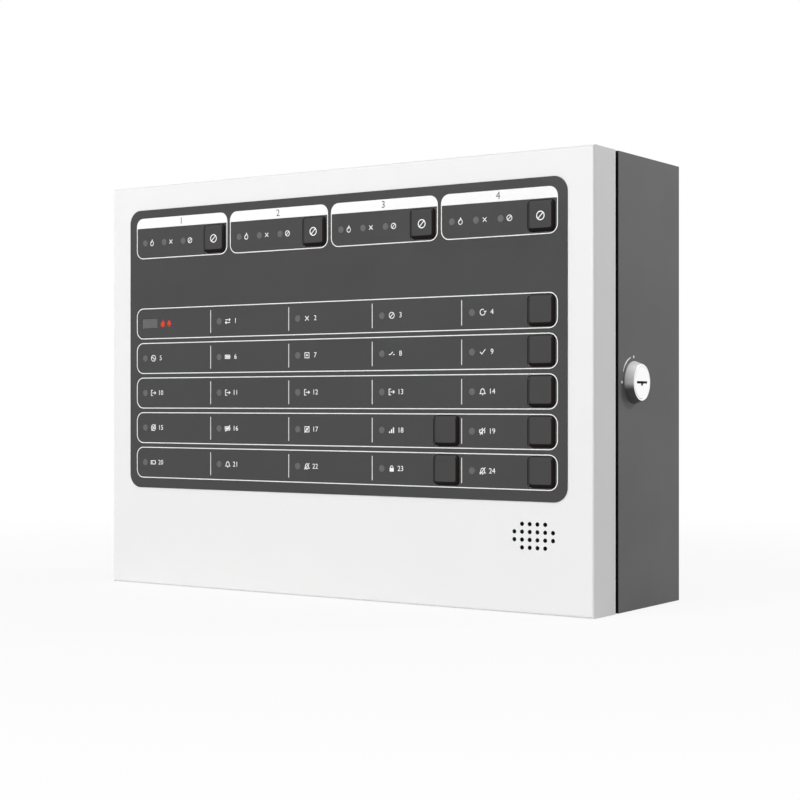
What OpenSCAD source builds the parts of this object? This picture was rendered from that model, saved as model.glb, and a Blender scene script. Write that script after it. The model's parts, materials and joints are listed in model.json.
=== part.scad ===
// Wall-mounted fire alarm control panel: a sheet-steel back box, a hinged door that carries the
// lamps and keys, a cam lock in the right-hand side, and the boards, supply and batteries inside.
// Origin at the middle of the back face. X runs to the right, Y into the wall and Z up.

/* [Cabinet] */
// Overall width of the cabinet
body_w = 331; // [290:1:380]
// Overall height of the cabinet
body_h = 240; // [216:1:300]
// Depth from the wall to the face of the door
body_d = 102; // [90:1:130]
// Thickness of the folded sheet steel
sheet_t = 1.2; // [1:0.1:1.6]
// Inside radius of the folds
fold_in_r = 0.4; // [0.2:0.1:1]
// Depth of the folded sides of the door
door_d = 23.8; // [23:0.1:28]
// Shadow gap between the door and the box
seam_gap = 3.4; // [2.2:0.1:4]
// Width of the stiffening lips round the mouth of the box
lip_w = 8; // [7:0.5:10]
// Width of the foam dust seal on the lips
seal_w = 5; // [3:0.5:6]
// Radius of the wall fixing holes
wall_hole_r = 2.75; // [2:0.05:3.5]
// Distance of the wall fixing holes from the sides
wall_hole_side = 15.5; // [13:0.5:18]
// Distance of the wall fixing holes from the top and bottom
wall_hole_end = 36; // [33:0.5:42]

/* [Cable entries] */
// Radius of a cable entry hole in the top
entry_r = 10; // [6:0.5:12]
// Spacing of the cable entries
entry_pitch = 60; // [40:1:64]
// Distance of the cable entries from the wall
entry_y = 37; // [30:1:45]
// Thickness of the rubber of a closed grommet
grommet_t = 1.5; // [1:0.1:2]

/* [Fascia] */
// Distance from the sides of the door to the fascia
fascia_side = 15; // [12:0.5:18]
// Distance from the top of the door to the fascia
fascia_top = 14.5; // [13:0.5:18]
// Height of the fascia
fascia_h = 167.3; // [165:0.1:172]
// Corner radius of the fascia
fascia_r = 8; // [4:0.5:12]
// Thickness of the fascia
fascia_t = 0.6; // [0.4:0.1:1.2]
// Distance from the edge of the fascia to the cells
cell_margin = 5.2; // [4:0.1:7]
// Gap between two zone cells
zone_gap = 1.7; // [1:0.1:3]
// Drop from the top of the fascia to the lamps and keys of the zone cells
zone_drop = 19.9; // [18:0.1:22]
// Drop from the top of the fascia to the middle of the first row
row_drop = 68.55; // [64:0.05:72]
// Pitch of the rows
row_pitch = 20.88; // [20:0.02:22]
// Extra width of the last column
last_col_extra = 0.85; // [0:0.05:3]

/* [Lamps] */
// Radius of a round lamp window
lamp_r = 1.8; // [1.2:0.1:2.2]
// Distance from the left of a cell to its first lamp
lamp_inset = 7; // [5:0.1:8]
// Pitch of the lamps in a zone cell
zone_lamp_pitch = 15.05; // [13:0.05:16]
// Width of the alarm lamp window
alarm_w = 11.8; // [8:0.1:14]
// Height of the alarm lamp window
alarm_h = 5.7; // [4:0.1:8]
// Distance from the left of the row to the middle of the alarm lamp
alarm_inset = 10.7; // [9:0.1:12]

/* [Keys] */
// Width of a key at the fascia
key_w = 16; // [13:0.1:16.4]
// Width of the flat top of a key
key_top_w = 12.8; // [9:0.1:12.8]
// Height of a key above the fascia
key_rise = 1; // [0.8:0.1:2]
// Travel of a key
key_travel = 1; // [0.5:0.1:1.4]
// Distance from the right of a cell to the middle of its key
key_inset = 9.9; // [9.6:0.1:11]
// Gap between a key and its aperture
key_gap = 0.3; // [0.2:0.05:0.5]

/* [Sounder] */
// Distance from the right of the door to the middle of the sound holes
sounder_side = 35; // [32:0.5:42]
// Drop from the end of the fascia to the middle of the sound holes
sounder_drop = 17.8; // [16:0.1:22]
// Radius of a sound hole
sound_hole_r = 1.15; // [0.8:0.05:1.4]
// Pitch of the sound holes along a row
sound_pitch_x = 4.58; // [3.6:0.02:4.8]
// Pitch of the rows of sound holes
sound_pitch_z = 4.08; // [3.6:0.02:4.8]
// Radius of the sounder
sounder_r = 14; // [13:0.5:16]
// Depth of the sounder
sounder_d = 8; // [6:0.5:10]

/* [Lock] */
// Distance from the mouth of the box to the lock
lock_inset = 18; // [17:0.1:22]
// Radius of the lock's head at the wall
lock_head_r = 11.3; // [10.8:0.1:13]
// Radius of the lock's face
lock_face_r = 9.6; // [9.2:0.1:10.6]
// Height of the lock's head
lock_head_h = 4.7; // [4:0.1:7]
// Radius of the lock's barrel
lock_barrel_r = 9.4; // [8.5:0.1:9.8]
// Length of the lock's barrel
lock_barrel_l = 20; // [16:0.5:22]
// Radius of the turning plug
plug_r = 6.5; // [5.5:0.1:7]
// Width of the keyway
keyway_w = 12; // [8:0.5:13]
// Thickness of the keyway
keyway_t = 1.2; // [0.8:0.1:1.6]
// Thickness of the cam
cam_t = 2.5; // [2:0.1:3]

/* [Hinge] */
// Distance of the hinge axis from the left side
hinge_inset = 7; // [7:0.1:8]
// Distance of the hinge axis behind the sides of the door
hinge_back = 11.5; // [10.5:0.1:12.5]
// Distance of the hinges from the top and bottom
hinge_end = 17; // [15:0.5:18]
// Radius of the hinge pins
pin_r = 2; // [1.5:0.05:2.4]

/* [Batteries] */
// Gap between the battery strap and the power supply
battery_gap = 5; // [1:0.5:20]
// Gap between the batteries and the mouth of the box
battery_front_gap = 2.4; // [2:0.1:20]
// Height of a battery
battery_h = 101; // [80:1:106]

/* [Boards and supply] */
// Room at the right of the main board for the mains terminals
mains_room = 75.5; // [70:0.5:90]
// Height of the main board
main_h = 96; // [90:1:100]
// Distance of the main board from the wall of the box
main_stand = 10; // [6:0.5:14]
// Thickness of the boards
board_t = 1.6; // [1:0.1:2]
// Width of the power supply
supply_w = 76; // [60:1:78]
// Height of the power supply
supply_h = 94; // [80:1:98]
// Depth of the power supply
supply_d = 36; // [28:1:40]

/* [Hidden] */
zone_count = 4;
zone_lamp_count = 3;
row_count = 5;
col_count = 5;
zone_key_names = [for (i = [1:zone_count]) str("zone_key_", i)];
control_key_count = 7;
control_key_names = [for (i = [1:control_key_count]) str("control_key_", i)];
$fn = 48;
hull_fn = 32;
// Overshoot of a cut past the face that it opens
cut = 1;

// Colours
door_white = "#f2f2f2";
box_grey = "#5d5d5f";
fascia_grey = "#4f4f50";
key_grey = "#4a4a4b";
lamp_grey = "#6c6c6e";
chrome = "#d8d8da";
zinc = "#b9bcc0";
board_green = "#1f6b3a";
black = "#202022";
terminal_green = "#3f9a57";
relay_blue = "#2f6fb0";
brass_gold = "#c9a44c";
battery_grey = "#3a3d42";
mains_white = "#e8e8e4";
fuse_white = "#e6e2d8";
led_clear = "#e8e4d4";

// Faces of the sheet metal
half_w = body_w / 2;
half_h = body_h / 2;
in_x = half_w - sheet_t;
in_z = half_h - sheet_t;
front_y = -body_d;
door_in_y = front_y + sheet_t;
door_back_y = front_y + door_d;
mouth_y = door_back_y + seam_gap;
wall_in_y = -sheet_t;
fascia_y = front_y - fascia_t;
seal_gap = 0.3;
seal_set = 1;
entry_count = 4;
entry_xs = [for (i = [0:entry_count - 1]) (i - (entry_count - 1) / 2) * entry_pitch];
grommet_flange = 2.5;
grommet_gap = 0.1;

// Layout of the fascia
fascia_w = body_w - 2 * fascia_side;
fascia_top_z = half_h - fascia_top;
fascia_mid_z = fascia_top_z - fascia_h / 2;
cells_w = fascia_w - 2 * cell_margin;
cells_left = -cells_w / 2;
zone_pitch = (cells_w + zone_gap) / zone_count;
col_pitch = (cells_w - last_col_extra) / col_count;
zone_z = fascia_top_z - zone_drop;
function zone_left(i) = cells_left + i * zone_pitch;
function row_z(i) = fascia_top_z - row_drop - i * row_pitch;
function col_left(j) = cells_left + j * col_pitch;
zone_lamp_spots = [
    for (i = [0:zone_count - 1], j = [0:zone_lamp_count - 1])
        [zone_left(i) + lamp_inset + j * zone_lamp_pitch, zone_z]
];
// The alarm lamp takes the first place in the first row
status_lamp_spots = [
    for (i = [0:row_count - 1], j = [0:col_count - 1])
        if (i > 0 || j > 0) [col_left(j) + lamp_inset, row_z(i)]
];
alarm_spot = [cells_left + alarm_inset, row_z(0)];
zone_key_spots = [
    for (i = [0:zone_count - 1]) [zone_left(i) + zone_pitch - zone_gap - key_inset, zone_z]
];
last_col_key_x = -cells_left - key_inset;
fourth_col_key_x = last_col_key_x - col_pitch;
control_key_spots = concat(
    [for (i = [0:row_count - 1]) [last_col_key_x, row_z(i)]],
    [for (i = [row_count - 2:row_count - 1]) [fourth_col_key_x, row_z(i)]]
);
key_spots = concat(zone_key_spots, control_key_spots);
// The fascia ends below the last row, and what is under it keeps clear of both
row_end = 15.23;
fascia_end_z = min(fascia_top_z - fascia_h, row_z(row_count - 1) - row_end);

// Lamp windows and keys, as distances behind the inside of the door
lamp_gap = 0.1;
lamp_collar = 0.9;
lamp_collar_t = 0.8;
key_corner_r = 2.4;
key_edge_h = 0.3;
key_slice_t = 0.05;
key_shoulder = 0.7;
key_flange = 0.9;
key_flange_t = 1;
key_rest_gap = 0.2;
stem_r = 1.75;
stem_gap = 0.35;
stem_entry = 0.8;
press_gap = 0.5;
switch_w = 12;
switch_h = 3.6;
switch_floor = 1;
switch_back = key_rest_gap + key_flange_t + key_travel + press_gap;
display_back = switch_back + switch_h;
display_y = door_in_y + display_back;
display_rear_y = display_y + board_t;
led_r = 1.5;
led_gap = 0.8;
led_h = display_back - lamp_collar_t - led_gap;

// Display board, held on pillars that stand on the inside of the door
display_edge = 1.6;
display_margin = 3;
display_left = cells_left + display_edge;
display_right = -cells_left;
display_top = zone_z + key_w / 2 + display_margin;
display_bottom = row_z(row_count - 1) - key_w / 2 - display_margin;
pillar_r = 3;
stud_r = 1.5;
stud_gap = 0.1;
stud_reach = 4;
nut_r = 3.2;
nut_t = 2.4;
band_z = (zone_z + row_z(0)) / 2;
pillar_edge = 4.5;
lamp_mid = lamp_inset + zone_lamp_pitch / 2;
display_pillar_spots = [
    [display_left + pillar_edge, band_z],
    [0, band_z],
    [display_right - pillar_edge, band_z],
    [zone_left(0) + lamp_mid, display_top - pillar_edge],
    [zone_left(zone_count - 1) + lamp_mid, display_top - pillar_edge],
    [col_left(0) + col_pitch / 2, display_bottom + pillar_edge],
    [col_left(2) + col_pitch / 2, display_bottom + pillar_edge],
    [col_left(4) + lamp_mid, display_bottom + pillar_edge]
];
display_header_x = -60;
display_chip_x = 30;
display_chip_w = 14;
driver_size = [13, 7];
driver_pitch = 60;
driver_count = 3;
chip_t = 1.6;

// Sounder behind its holes
sounder_x = half_w - sounder_side;
sounder_z = fascia_end_z - sounder_drop;
sound_rows = [4, 6, 6, 4];
last_sound_row = len(sound_rows) - 1;
function sound_x(i, j) = sounder_x + (j - (sound_rows[i] - 1) / 2) * sound_pitch_x;
function sound_z(i) = sounder_z + (last_sound_row / 2 - i) * sound_pitch_z;
sound_spots = [
    for (i = [0:last_sound_row], j = [0:sound_rows[i] - 1]) [sound_x(i, j), sound_z(i)]
];
sounder_gasket_t = 1.5;
sounder_gasket_w = 2;
sounder_port_r = 4;
sounder_port_d = 3;
door_earth_side = 45;
door_earth_x = -half_w + door_earth_side;
clamp_t = 1;
clamp_w = 8;
clamp_foot = 7;
clamp_gap = 0.3;

// Lock: the cam is drawn parked, hanging down, and turns up against the strike on the door
lock_y = mouth_y + lock_inset;
lock_gap = 0.1;
plug_gap = 0.05;
face_rim = 1;
face_r = lock_face_r - face_rim;
face_t = 0.8;
tail_gap = 0.5;
keyway_depth = 9;
notch_r = 1.3;
lock_nut_r = 13;
lock_nut_t = 4;
barrel_end_x = half_w - lock_barrel_l;
plug_end_x = barrel_end_x - tail_gap;
cam_x = plug_end_x - cam_t;
cam_half_w = 5;
cam_boss_r = 7.5;
cam_screw_r = 2.5;
cam_screw_head_r = 4;
cam_screw_head_h = 2.5;
cam_screw_l = 8;
strike_set = 2;
strike_t = 1.2;
strike_low_z = 7;
strike_h = 11;
strike_foot = 9;
strike_past = 5;
hook_gap = 1.5;
hook_t = 3.5;
hook_h = 16;
strike_front_y = door_back_y - strike_set - strike_t;
hook_reach = lock_y - (strike_front_y - hook_gap);
cam_reach = hook_reach + hook_t;

// Hinge: an arm on the door reaches round the edge of the box to a pin inside it
hinge_x = -half_w + hinge_inset;
hinge_y = door_back_y + hinge_back;
hinge_z = half_h - hinge_end;
hinge_wall_x = sheet_t - hinge_inset;
hinge_clear = 0.05;
pin_fit = 0.03;
eye_wall = 2.5;
eye_r = pin_r + eye_wall;
arm_t = 3;
arm_low = 1.8;
arm_leg_x = 13;
arm_leg_w = 4;
arm_foot_w = 16;
arm_foot_h = 12;
arm_foot_t = 1.5;
ear_t = 2.5;
ear_gap = 0.2;
ear_plate_t = 1.3;
ear_plate_l = 22;
ear_plate_h = 20;
eye_space = 1;
pin_head_r = pin_r + 1.2;
pin_head_h = 1;
pin_tail = 0.8;

// Screws with a cross recess
screw_r = 2;
screw_gap = 0.2;
screw_head_r = 3.6;
screw_head_h = 2.2;
recess_w = 0.8;
recess_share = 1.3;
recess_d = 1;

// Batteries, side by side on the floor of the box in the room that the power supply leaves
battery_side = 29.5;
supply_side = 27.5;
strap_t = 1;
strap_foot = 12;
supply_left = half_w - supply_side - supply_w;
battery_left = -half_w + battery_side;
battery_w = (supply_left - battery_gap - strap_foot - strap_t - battery_left) / 2;
battery_back_gap = 1;
battery_front_y = mouth_y + battery_front_gap;
battery_top_z = -in_z + battery_h;
battery_lid_h = 14;
battery_lid_step = 0.6;
tab_w = 6.35;
tab_t = 0.8;
tab_h = 6;
tab_side = 14;
strap_h = 15;
strap_mid_z = -in_z + battery_h / 2;
strap_left = battery_left - strap_t;
strap_right = battery_left + 2 * battery_w + strap_t;
strap_screw_xs = [strap_left - strap_foot / 2, strap_right + strap_foot / 2];

// Main board, on hexagonal pillars on the back of the box
main_side = 35.5;
main_drop = 14;
main_left = -half_w + main_side;
main_top = half_h - main_drop;
main_bottom = main_top - main_h;
main_right = half_w - mains_room;
main_w = main_right - main_left;
main_mid_x = (main_left + main_right) / 2;
main_mid_z = (main_top + main_bottom) / 2;
main_back_y = wall_in_y - main_stand;
main_front_y = main_back_y - board_t;
main_edge = 5;
main_pillar_spots = [
    for (x = [main_left + main_edge, main_mid_x, main_right - main_edge])
        for (z = [main_bottom + main_edge, main_top - main_edge]) [x, z]
];
terminal_ways = 4;
terminal_blocks = 6;
terminal_pitch = 5;
terminal_h = 11;
terminal_d = 10;
terminal_edge = 2;
terminal_side = 15;
terminal_well_r = 1.9;
terminal_well_drop = 1.5;
terminal_screw_r = 1.5;
terminal_screw_h = 2.5;
wire_hole_w = 3.4;
wire_hole_h = 3.2;
wire_hole_d = 3;
wire_hole_lift = 1.4;
terminal_step = (main_w - 2 * terminal_side) / terminal_blocks;
terminal_z = main_top - terminal_edge - terminal_h / 2;
function terminal_x(b) = main_left + terminal_side + (b + 0.5) * terminal_step;
function way_x(b, w) = terminal_x(b) + (w - (terminal_ways - 1) / 2) * terminal_pitch;
fuse_count = 3;
fuse_r = 2.5;
fuse_l = 20;
fuse_pitch = 12;
fuse_height = 8;
fuse_side = 24;
fuse_lift = 16;
fuse_base_h = 3;
fuse_base_w = 8;
fuse_base_past = 2;
fuse_post_l = 4;
fuse_post_w = 7.2;
fuse_x = main_right - fuse_side;
fuse_left = fuse_x - fuse_l / 2 - fuse_base_past;
fuse_low_z = main_bottom + fuse_lift;
capacitor_r = 5;
capacitor_h = 14;
capacitor_bevel = 0.6;
capacitor_count = 4;
capacitor_pitch = 13;
capacitor_gap = 18;
capacitor_lift = 13;
last_capacitor_x = fuse_left - capacitor_gap - capacitor_r;
capacitor_z = main_bottom + capacitor_lift;
main_driver_size = [17, 7];
main_driver_side = 30;
main_driver_pitch = 26;
main_driver_lift = 24;
main_driver_z = main_bottom + main_driver_lift;
processor_w = 20;
processor_gap = 2;
processor_x = fuse_left - processor_gap - processor_w / 2;
relay_size = [19, 15.5, 15];
relay_count = 4;
relay_side = 16;
relay_drop = 22;
relay_left = main_left + relay_side;
relay_z = terminal_z - relay_drop;
header_w = 30;
header_h = 9;
header_lift = 8;
main_header_z = main_mid_z + header_lift;

// The room left in the row of relays, header and processor is shared out between them
row_room = processor_x - processor_w / 2 - relay_left - relay_count * relay_size[0] - header_w;
relay_gap_share = 0.125;
header_gap_share = 0.2;
relay_pitch = relay_size[0] + row_room * relay_gap_share;
relays_right = relay_left + (relay_count - 1) * relay_pitch + relay_size[0];
main_header_x = relays_right + row_room * header_gap_share + header_w / 2;

// Pin headers
header_d = 8.8;
header_wall = 1.2;
header_floor = 2;
header_pitch = 2.54;
header_pin_w = 0.64;
header_pin_l = 5.3;
header_half_count = 5;

// Power supply and mains terminals, at the right of the batteries
supply_lift = 3;
supply_bottom = -in_z + supply_lift;
supply_ledge = 14;
supply_cover_h = supply_h - supply_ledge;
supply_base_t = 1.5;
supply_ways = 5;
strip_side = 6;
strip_edge = 1;
strip_wall = 1.6;
strip_well_d = 5;
strip_screw_r = 2.2;
strip_screw_d = 8;
vent_w = 2.4;
vent_pitch = 6;
vent_depth = 2;
vent_side = 11;
vent_end = 10;
mains_side = 48;
mains_x = half_w - mains_side;
mains_drop = 80;
mains_z = half_h - mains_drop;
mains_ways = 3;
mains_w = 36;
mains_h = 18;
mains_d = 16;
earth_drop = 38;
earth_z = half_h - earth_drop;
earth_stud_r = 2;
earth_stud_l = 12;
earth_washer_r = 4.5;
earth_washer_t = 1;
earth_nut_r = 4;
earth_nut_t = 3.2;

// Shared shapes

module block(lo, hi) {
    translate(lo) cube(hi - lo);
}

// Turns the children so that their Z points to the front of the panel
module to_front(x, y, z) {
    translate([x, y, z]) rotate([90, 0, 0]) children();
}

// Turns the children so that their Z points to the right of the panel
module to_right(x, y, z) {
    translate([x, y, z]) rotate([0, 90, 0]) children();
}

module rounded_rect(w, h, r) {
    square([w - 2 * r, h], center = true);
    square([w, h - 2 * r], center = true);
    for (sx = [-1, 1], sy = [-1, 1]) translate([sx * (w / 2 - r), sy * (h / 2 - r)]) circle(r);
}

// Section through a tray that is open at the bottom and has rounded folds at the top
module tray_section(half, depth, r) {
    translate([-half, 0]) square([2 * half, depth - r]);
    translate([-half + r, 0]) square([2 * (half - r), depth]);
    for (s = [-1, 1]) translate([s * (half - r), depth - r]) circle(r);
}

// Solid with rounded folds round its top face, drawn from its open end
module tray_form(half_x, half_y, depth, r) {
    intersection() {
        rotate([90, 0, 0]) linear_extrude(2 * half_y, center = true) tray_section(half_x, depth, r);
        rotate([90, 0, 90]) linear_extrude(2 * half_x, center = true) tray_section(half_y, depth, r);
    }
}

// Folded sheet-steel tray of the cabinet's width and height, drawn from its open end
module folded_tray(depth) {
    difference() {
        tray_form(half_w, half_h, depth, fold_in_r + sheet_t);
        translate([0, 0, -cut]) tray_form(in_x, in_z, depth - sheet_t + cut, fold_in_r);
    }
}

// Screw with a cross recess, drawn from under its head
module cross_screw(r, head_r, head_h, l) {
    difference() {
        union() {
            cylinder(r = head_r, h = head_h);
            translate([0, 0, -l]) cylinder(r = r, h = l);
        }
        for (a = [0, 90])
            translate([0, 0, head_h]) rotate(a)
                cube([head_r * recess_share, recess_w, 2 * recess_d], center = true);
    }
}

// Holes for the keys and lamps, drawn flat, that the fascia and the door share
module front_apertures() {
    for (p = key_spots) translate(p) rounded_rect(key_w + 2 * key_gap, key_w + 2 * key_gap, key_corner_r);
    for (p = concat(zone_lamp_spots, status_lamp_spots)) translate(p) circle(lamp_r + lamp_gap);
    translate(alarm_spot) square([alarm_w + 2 * lamp_gap, alarm_h + 2 * lamp_gap], center = true);
}

// Back box and what is fixed to it

module lips() {
    block([-in_x, mouth_y, in_z - lip_w], [in_x, mouth_y + sheet_t, in_z]);
    block([-in_x, mouth_y, -in_z], [in_x, mouth_y + sheet_t, -in_z + lip_w]);
    block([in_x - lip_w, mouth_y, -in_z], [in_x, mouth_y + sheet_t, in_z]);
}

module back_box() {
    color(box_grey) difference() {
        union() {
            translate([0, mouth_y, 0]) rotate([-90, 0, 0]) folded_tray(-mouth_y);
            lips();
        }
        for (sx = [-1, 1], sz = [-1, 1])
            to_front(sx * (half_w - wall_hole_side), cut, sz * (half_h - wall_hole_end))
                cylinder(r = wall_hole_r, h = sheet_t + 2 * cut);
        for (x = entry_xs)
            translate([x, -entry_y, in_z - cut]) cylinder(r = entry_r, h = sheet_t + 2 * cut);
        to_right(in_x - cut, lock_y, 0) cylinder(r = lock_barrel_r + lock_gap, h = sheet_t + 2 * cut);
    }
}

// Foam strip on the three lips that darkens the gap round the door
module door_seal() {
    out_x = in_x - seal_set;
    out_z = in_z - seal_set;
    color(black) to_front(0, mouth_y, 0) linear_extrude(seam_gap - seal_gap) difference() {
        translate([-in_x, -out_z]) square([in_x + out_x, 2 * out_z]);
        translate([-in_x - cut, -out_z + seal_w]) square([in_x + out_x - seal_w + cut, 2 * (out_z - seal_w)]);
    }
}

module cable_grommets() {
    color(black) for (x = entry_xs) translate([x, -entry_y, 0]) {
        translate([0, 0, half_h]) cylinder(r = entry_r + grommet_flange, h = grommet_t);
        translate([0, 0, in_z - grommet_t]) cylinder(r = entry_r - grommet_gap, h = sheet_t + grommet_t);
        translate([0, 0, in_z - grommet_t]) cylinder(r = entry_r + grommet_flange / 2, h = grommet_t);
    }
}

module hinge_ear() {
    difference() {
        union() {
            circle(eye_r);
            translate([hinge_wall_x, -eye_r]) square([-hinge_wall_x, 2 * eye_r]);
            translate([hinge_wall_x, 0]) square([ear_plate_t, ear_plate_l]);
        }
        circle(pin_r + pin_fit);
    }
}

module hinge_brackets() {
    inner = arm_t / 2 + ear_gap;
    color(zinc) for (s = [-1, 1]) translate([hinge_x, hinge_y, s * hinge_z]) {
        for (e = [-1, 1]) translate([0, 0, e * (inner + ear_t / 2)])
            linear_extrude(ear_t, center = true) hinge_ear();
        block(
            [hinge_wall_x, eye_r + eye_space, -ear_plate_h / 2],
            [hinge_wall_x + ear_plate_t, ear_plate_l, ear_plate_h / 2]
        );
    }
}

module hinge_pins() {
    reach = arm_t / 2 + ear_gap + ear_t;
    color(zinc) for (s = [-1, 1]) translate([hinge_x, hinge_y, s * hinge_z]) {
        translate([0, 0, -reach - pin_tail]) cylinder(r = pin_r, h = 2 * reach + pin_tail);
        translate([0, 0, reach]) cylinder(r = pin_head_r, h = pin_head_h);
    }
}

module lock_housing() {
    color(chrome) difference() {
        union() {
            to_right(half_w, lock_y, 0) cylinder(r1 = lock_head_r, r2 = lock_face_r, h = lock_head_h);
            to_right(barrel_end_x, lock_y, 0) cylinder(r = lock_barrel_r, h = lock_barrel_l);
        }
        to_right(barrel_end_x - cut, lock_y, 0)
            cylinder(r = plug_r + plug_gap, h = lock_barrel_l + lock_head_h + 2 * cut);
        to_right(half_w + lock_head_h - face_t - plug_gap, lock_y, 0)
            cylinder(r = face_r + plug_gap, h = face_t + cut);
    }
}

module lock_nut() {
    color(zinc) to_right(in_x - lock_nut_t, lock_y, 0) difference() {
        cylinder(r = lock_nut_r, h = lock_nut_t, $fn = 6);
        translate([0, 0, -cut]) cylinder(r = lock_barrel_r + plug_gap, h = lock_nut_t + 2 * cut);
    }
}

// Main board

module main_board() {
    color(board_green) difference() {
        block([main_left, main_front_y, main_bottom], [main_right, main_back_y, main_top]);
        for (p = main_pillar_spots)
            to_front(p[0], main_back_y + cut, p[1]) cylinder(r = stud_r + stud_gap, h = board_t + 2 * cut);
    }
}

module board_pillars() {
    color(zinc) for (p = main_pillar_spots) to_front(p[0], wall_in_y, p[1]) difference() {
        cylinder(r = nut_r, h = main_stand, $fn = 6);
        translate([0, 0, main_stand / 2]) cylinder(r = stud_r + stud_gap, h = main_stand);
    }
}

module board_screws() {
    head_r = 2.8;
    reach = board_t + main_stand / 4;
    color(zinc) for (p = main_pillar_spots)
        to_front(p[0], main_front_y, p[1]) cross_screw(stud_r, head_r, screw_head_h, reach);
}

module field_terminals() {
    block_w = terminal_ways * terminal_pitch;
    color(terminal_green) for (b = [0:terminal_blocks - 1]) difference() {
        block(
            [terminal_x(b) - block_w / 2, main_front_y - terminal_d, terminal_z - terminal_h / 2],
            [terminal_x(b) + block_w / 2, main_front_y, terminal_z + terminal_h / 2]
        );
        for (w = [0:terminal_ways - 1]) {
            to_front(way_x(b, w), main_front_y - terminal_d / 2, terminal_z - terminal_well_drop)
                cylinder(r = terminal_well_r, h = terminal_d);
            translate([way_x(b, w) - wire_hole_w / 2, main_front_y - wire_hole_lift - wire_hole_h, 0])
                block(
                    [0, 0, terminal_z + terminal_h / 2 - wire_hole_d],
                    [wire_hole_w, wire_hole_h, terminal_z + terminal_h / 2 + cut]
                );
        }
    }
}

module terminal_screws() {
    slot_w = 0.5;
    foot_y = main_front_y - terminal_d / 2;
    color(zinc)
        for (b = [0:terminal_blocks - 1], w = [0:terminal_ways - 1])
            to_front(way_x(b, w), foot_y, terminal_z - terminal_well_drop) difference() {
                cylinder(r = terminal_screw_r, h = terminal_screw_h);
                translate([0, 0, terminal_screw_h])
                    cube([2 * terminal_screw_r + cut, slot_w, recess_d], center = true);
            }
}

module relays() {
    color(relay_blue) for (i = [0:relay_count - 1])
        translate([relay_left + i * relay_pitch, main_front_y - relay_size[2], relay_z - relay_size[1]])
            cube([relay_size[0], relay_size[2], relay_size[1]]);
}

module main_chips() {
    color(black) {
        to_front(processor_x, main_front_y, main_mid_z)
            linear_extrude(chip_t) square(processor_w, center = true);
        for (i = [0:driver_count - 1])
            to_front(main_left + main_driver_side + i * main_driver_pitch, main_front_y, main_driver_z)
                linear_extrude(chip_t) square(main_driver_size, center = true);
    }
}

module capacitors() {
    color(black) for (i = [0:capacitor_count - 1])
        to_front(last_capacitor_x - i * capacitor_pitch, main_front_y, capacitor_z) {
            cylinder(r = capacitor_r, h = capacitor_h);
            translate([0, 0, capacitor_h])
                cylinder(r1 = capacitor_r, r2 = capacitor_r - capacitor_bevel, h = capacitor_bevel);
        }
}

module fuse_holders() {
    post_mid = (fuse_l - fuse_post_l) / 2;
    base_half = fuse_l / 2 + fuse_base_past;
    color(black) for (i = [0:fuse_count - 1])
        translate([fuse_x, main_front_y, fuse_low_z + i * fuse_pitch]) {
            block([-base_half, -fuse_base_h, -fuse_base_w / 2], [base_half, 0, fuse_base_w / 2]);
            difference() {
                for (s = [-1, 1])
                    block(
                        [s * post_mid - fuse_post_l / 2, -fuse_height, -fuse_post_w / 2],
                        [s * post_mid + fuse_post_l / 2, -fuse_base_h, fuse_post_w / 2]
                    );
                to_right(-fuse_l, -fuse_height, 0) cylinder(r = fuse_r + stud_gap, h = 2 * fuse_l);
            }
        }
}

module fuses() {
    color(fuse_white) for (i = [0:fuse_count - 1])
        to_right(fuse_x - fuse_l / 2, main_front_y - fuse_height, fuse_low_z + i * fuse_pitch)
            cylinder(r = fuse_r, h = fuse_l);
}

// Open-topped pin header, drawn from the face of its board
module header() {
    inner = [header_w - 2 * header_wall, header_h - 2 * header_wall];
    difference() {
        linear_extrude(header_d) square([header_w, header_h], center = true);
        translate([0, 0, header_floor]) linear_extrude(header_d) square(inner, center = true);
    }
    for (i = [-header_half_count:header_half_count], s = [-1, 1])
        translate([i * header_pitch, s * header_pitch / 2, header_floor])
            linear_extrude(header_pin_l) square(header_pin_w, center = true);
}

module main_header() {
    color(black) to_front(main_header_x, main_front_y, main_header_z) header();
}

// Power supply, mains terminals and earth

// Flat outline of a slot with round ends
module vent(l) {
    square([l - vent_w, vent_w], center = true);
    for (s = [-1, 1]) translate([s * (l - vent_w) / 2, 0]) circle(vent_w / 2);
}

module supply_case() {
    vents = floor((supply_cover_h - 2 * vent_end) / vent_pitch) + 1;
    vent_l = supply_w - 2 * vent_side;
    mid_x = supply_left + supply_w / 2;
    color(zinc) {
        block(
            [supply_left, wall_in_y - supply_base_t, supply_bottom],
            [supply_left + supply_w, wall_in_y, supply_bottom + supply_h]
        );
        difference() {
            block(
                [supply_left, wall_in_y - supply_d, supply_bottom],
                [supply_left + supply_w, wall_in_y - supply_base_t, supply_bottom + supply_cover_h]
            );
            for (i = [0:vents - 1])
                to_front(mid_x, wall_in_y - supply_d + vent_depth, supply_bottom + vent_end + i * vent_pitch)
                    linear_extrude(vent_depth + cut) vent(vent_l);
        }
    }
}

// Screw-terminal strip on its own moulded base, drawn from the face that it stands on
module terminal_strip(ways, w, h, d) {
    pitch = w / ways;
    well = [pitch - strip_wall, h - 2 * strip_wall];
    difference() {
        linear_extrude(d) square([w, h], center = true);
        for (i = [0:ways - 1]) translate([(i - (ways - 1) / 2) * pitch, 0, 0]) {
            translate([0, 0, d - strip_well_d])
                linear_extrude(strip_well_d + cut) square(well, center = true);
            translate([0, 0, d - strip_screw_d]) cylinder(r = strip_screw_r, h = strip_screw_d);
        }
    }
}

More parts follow.
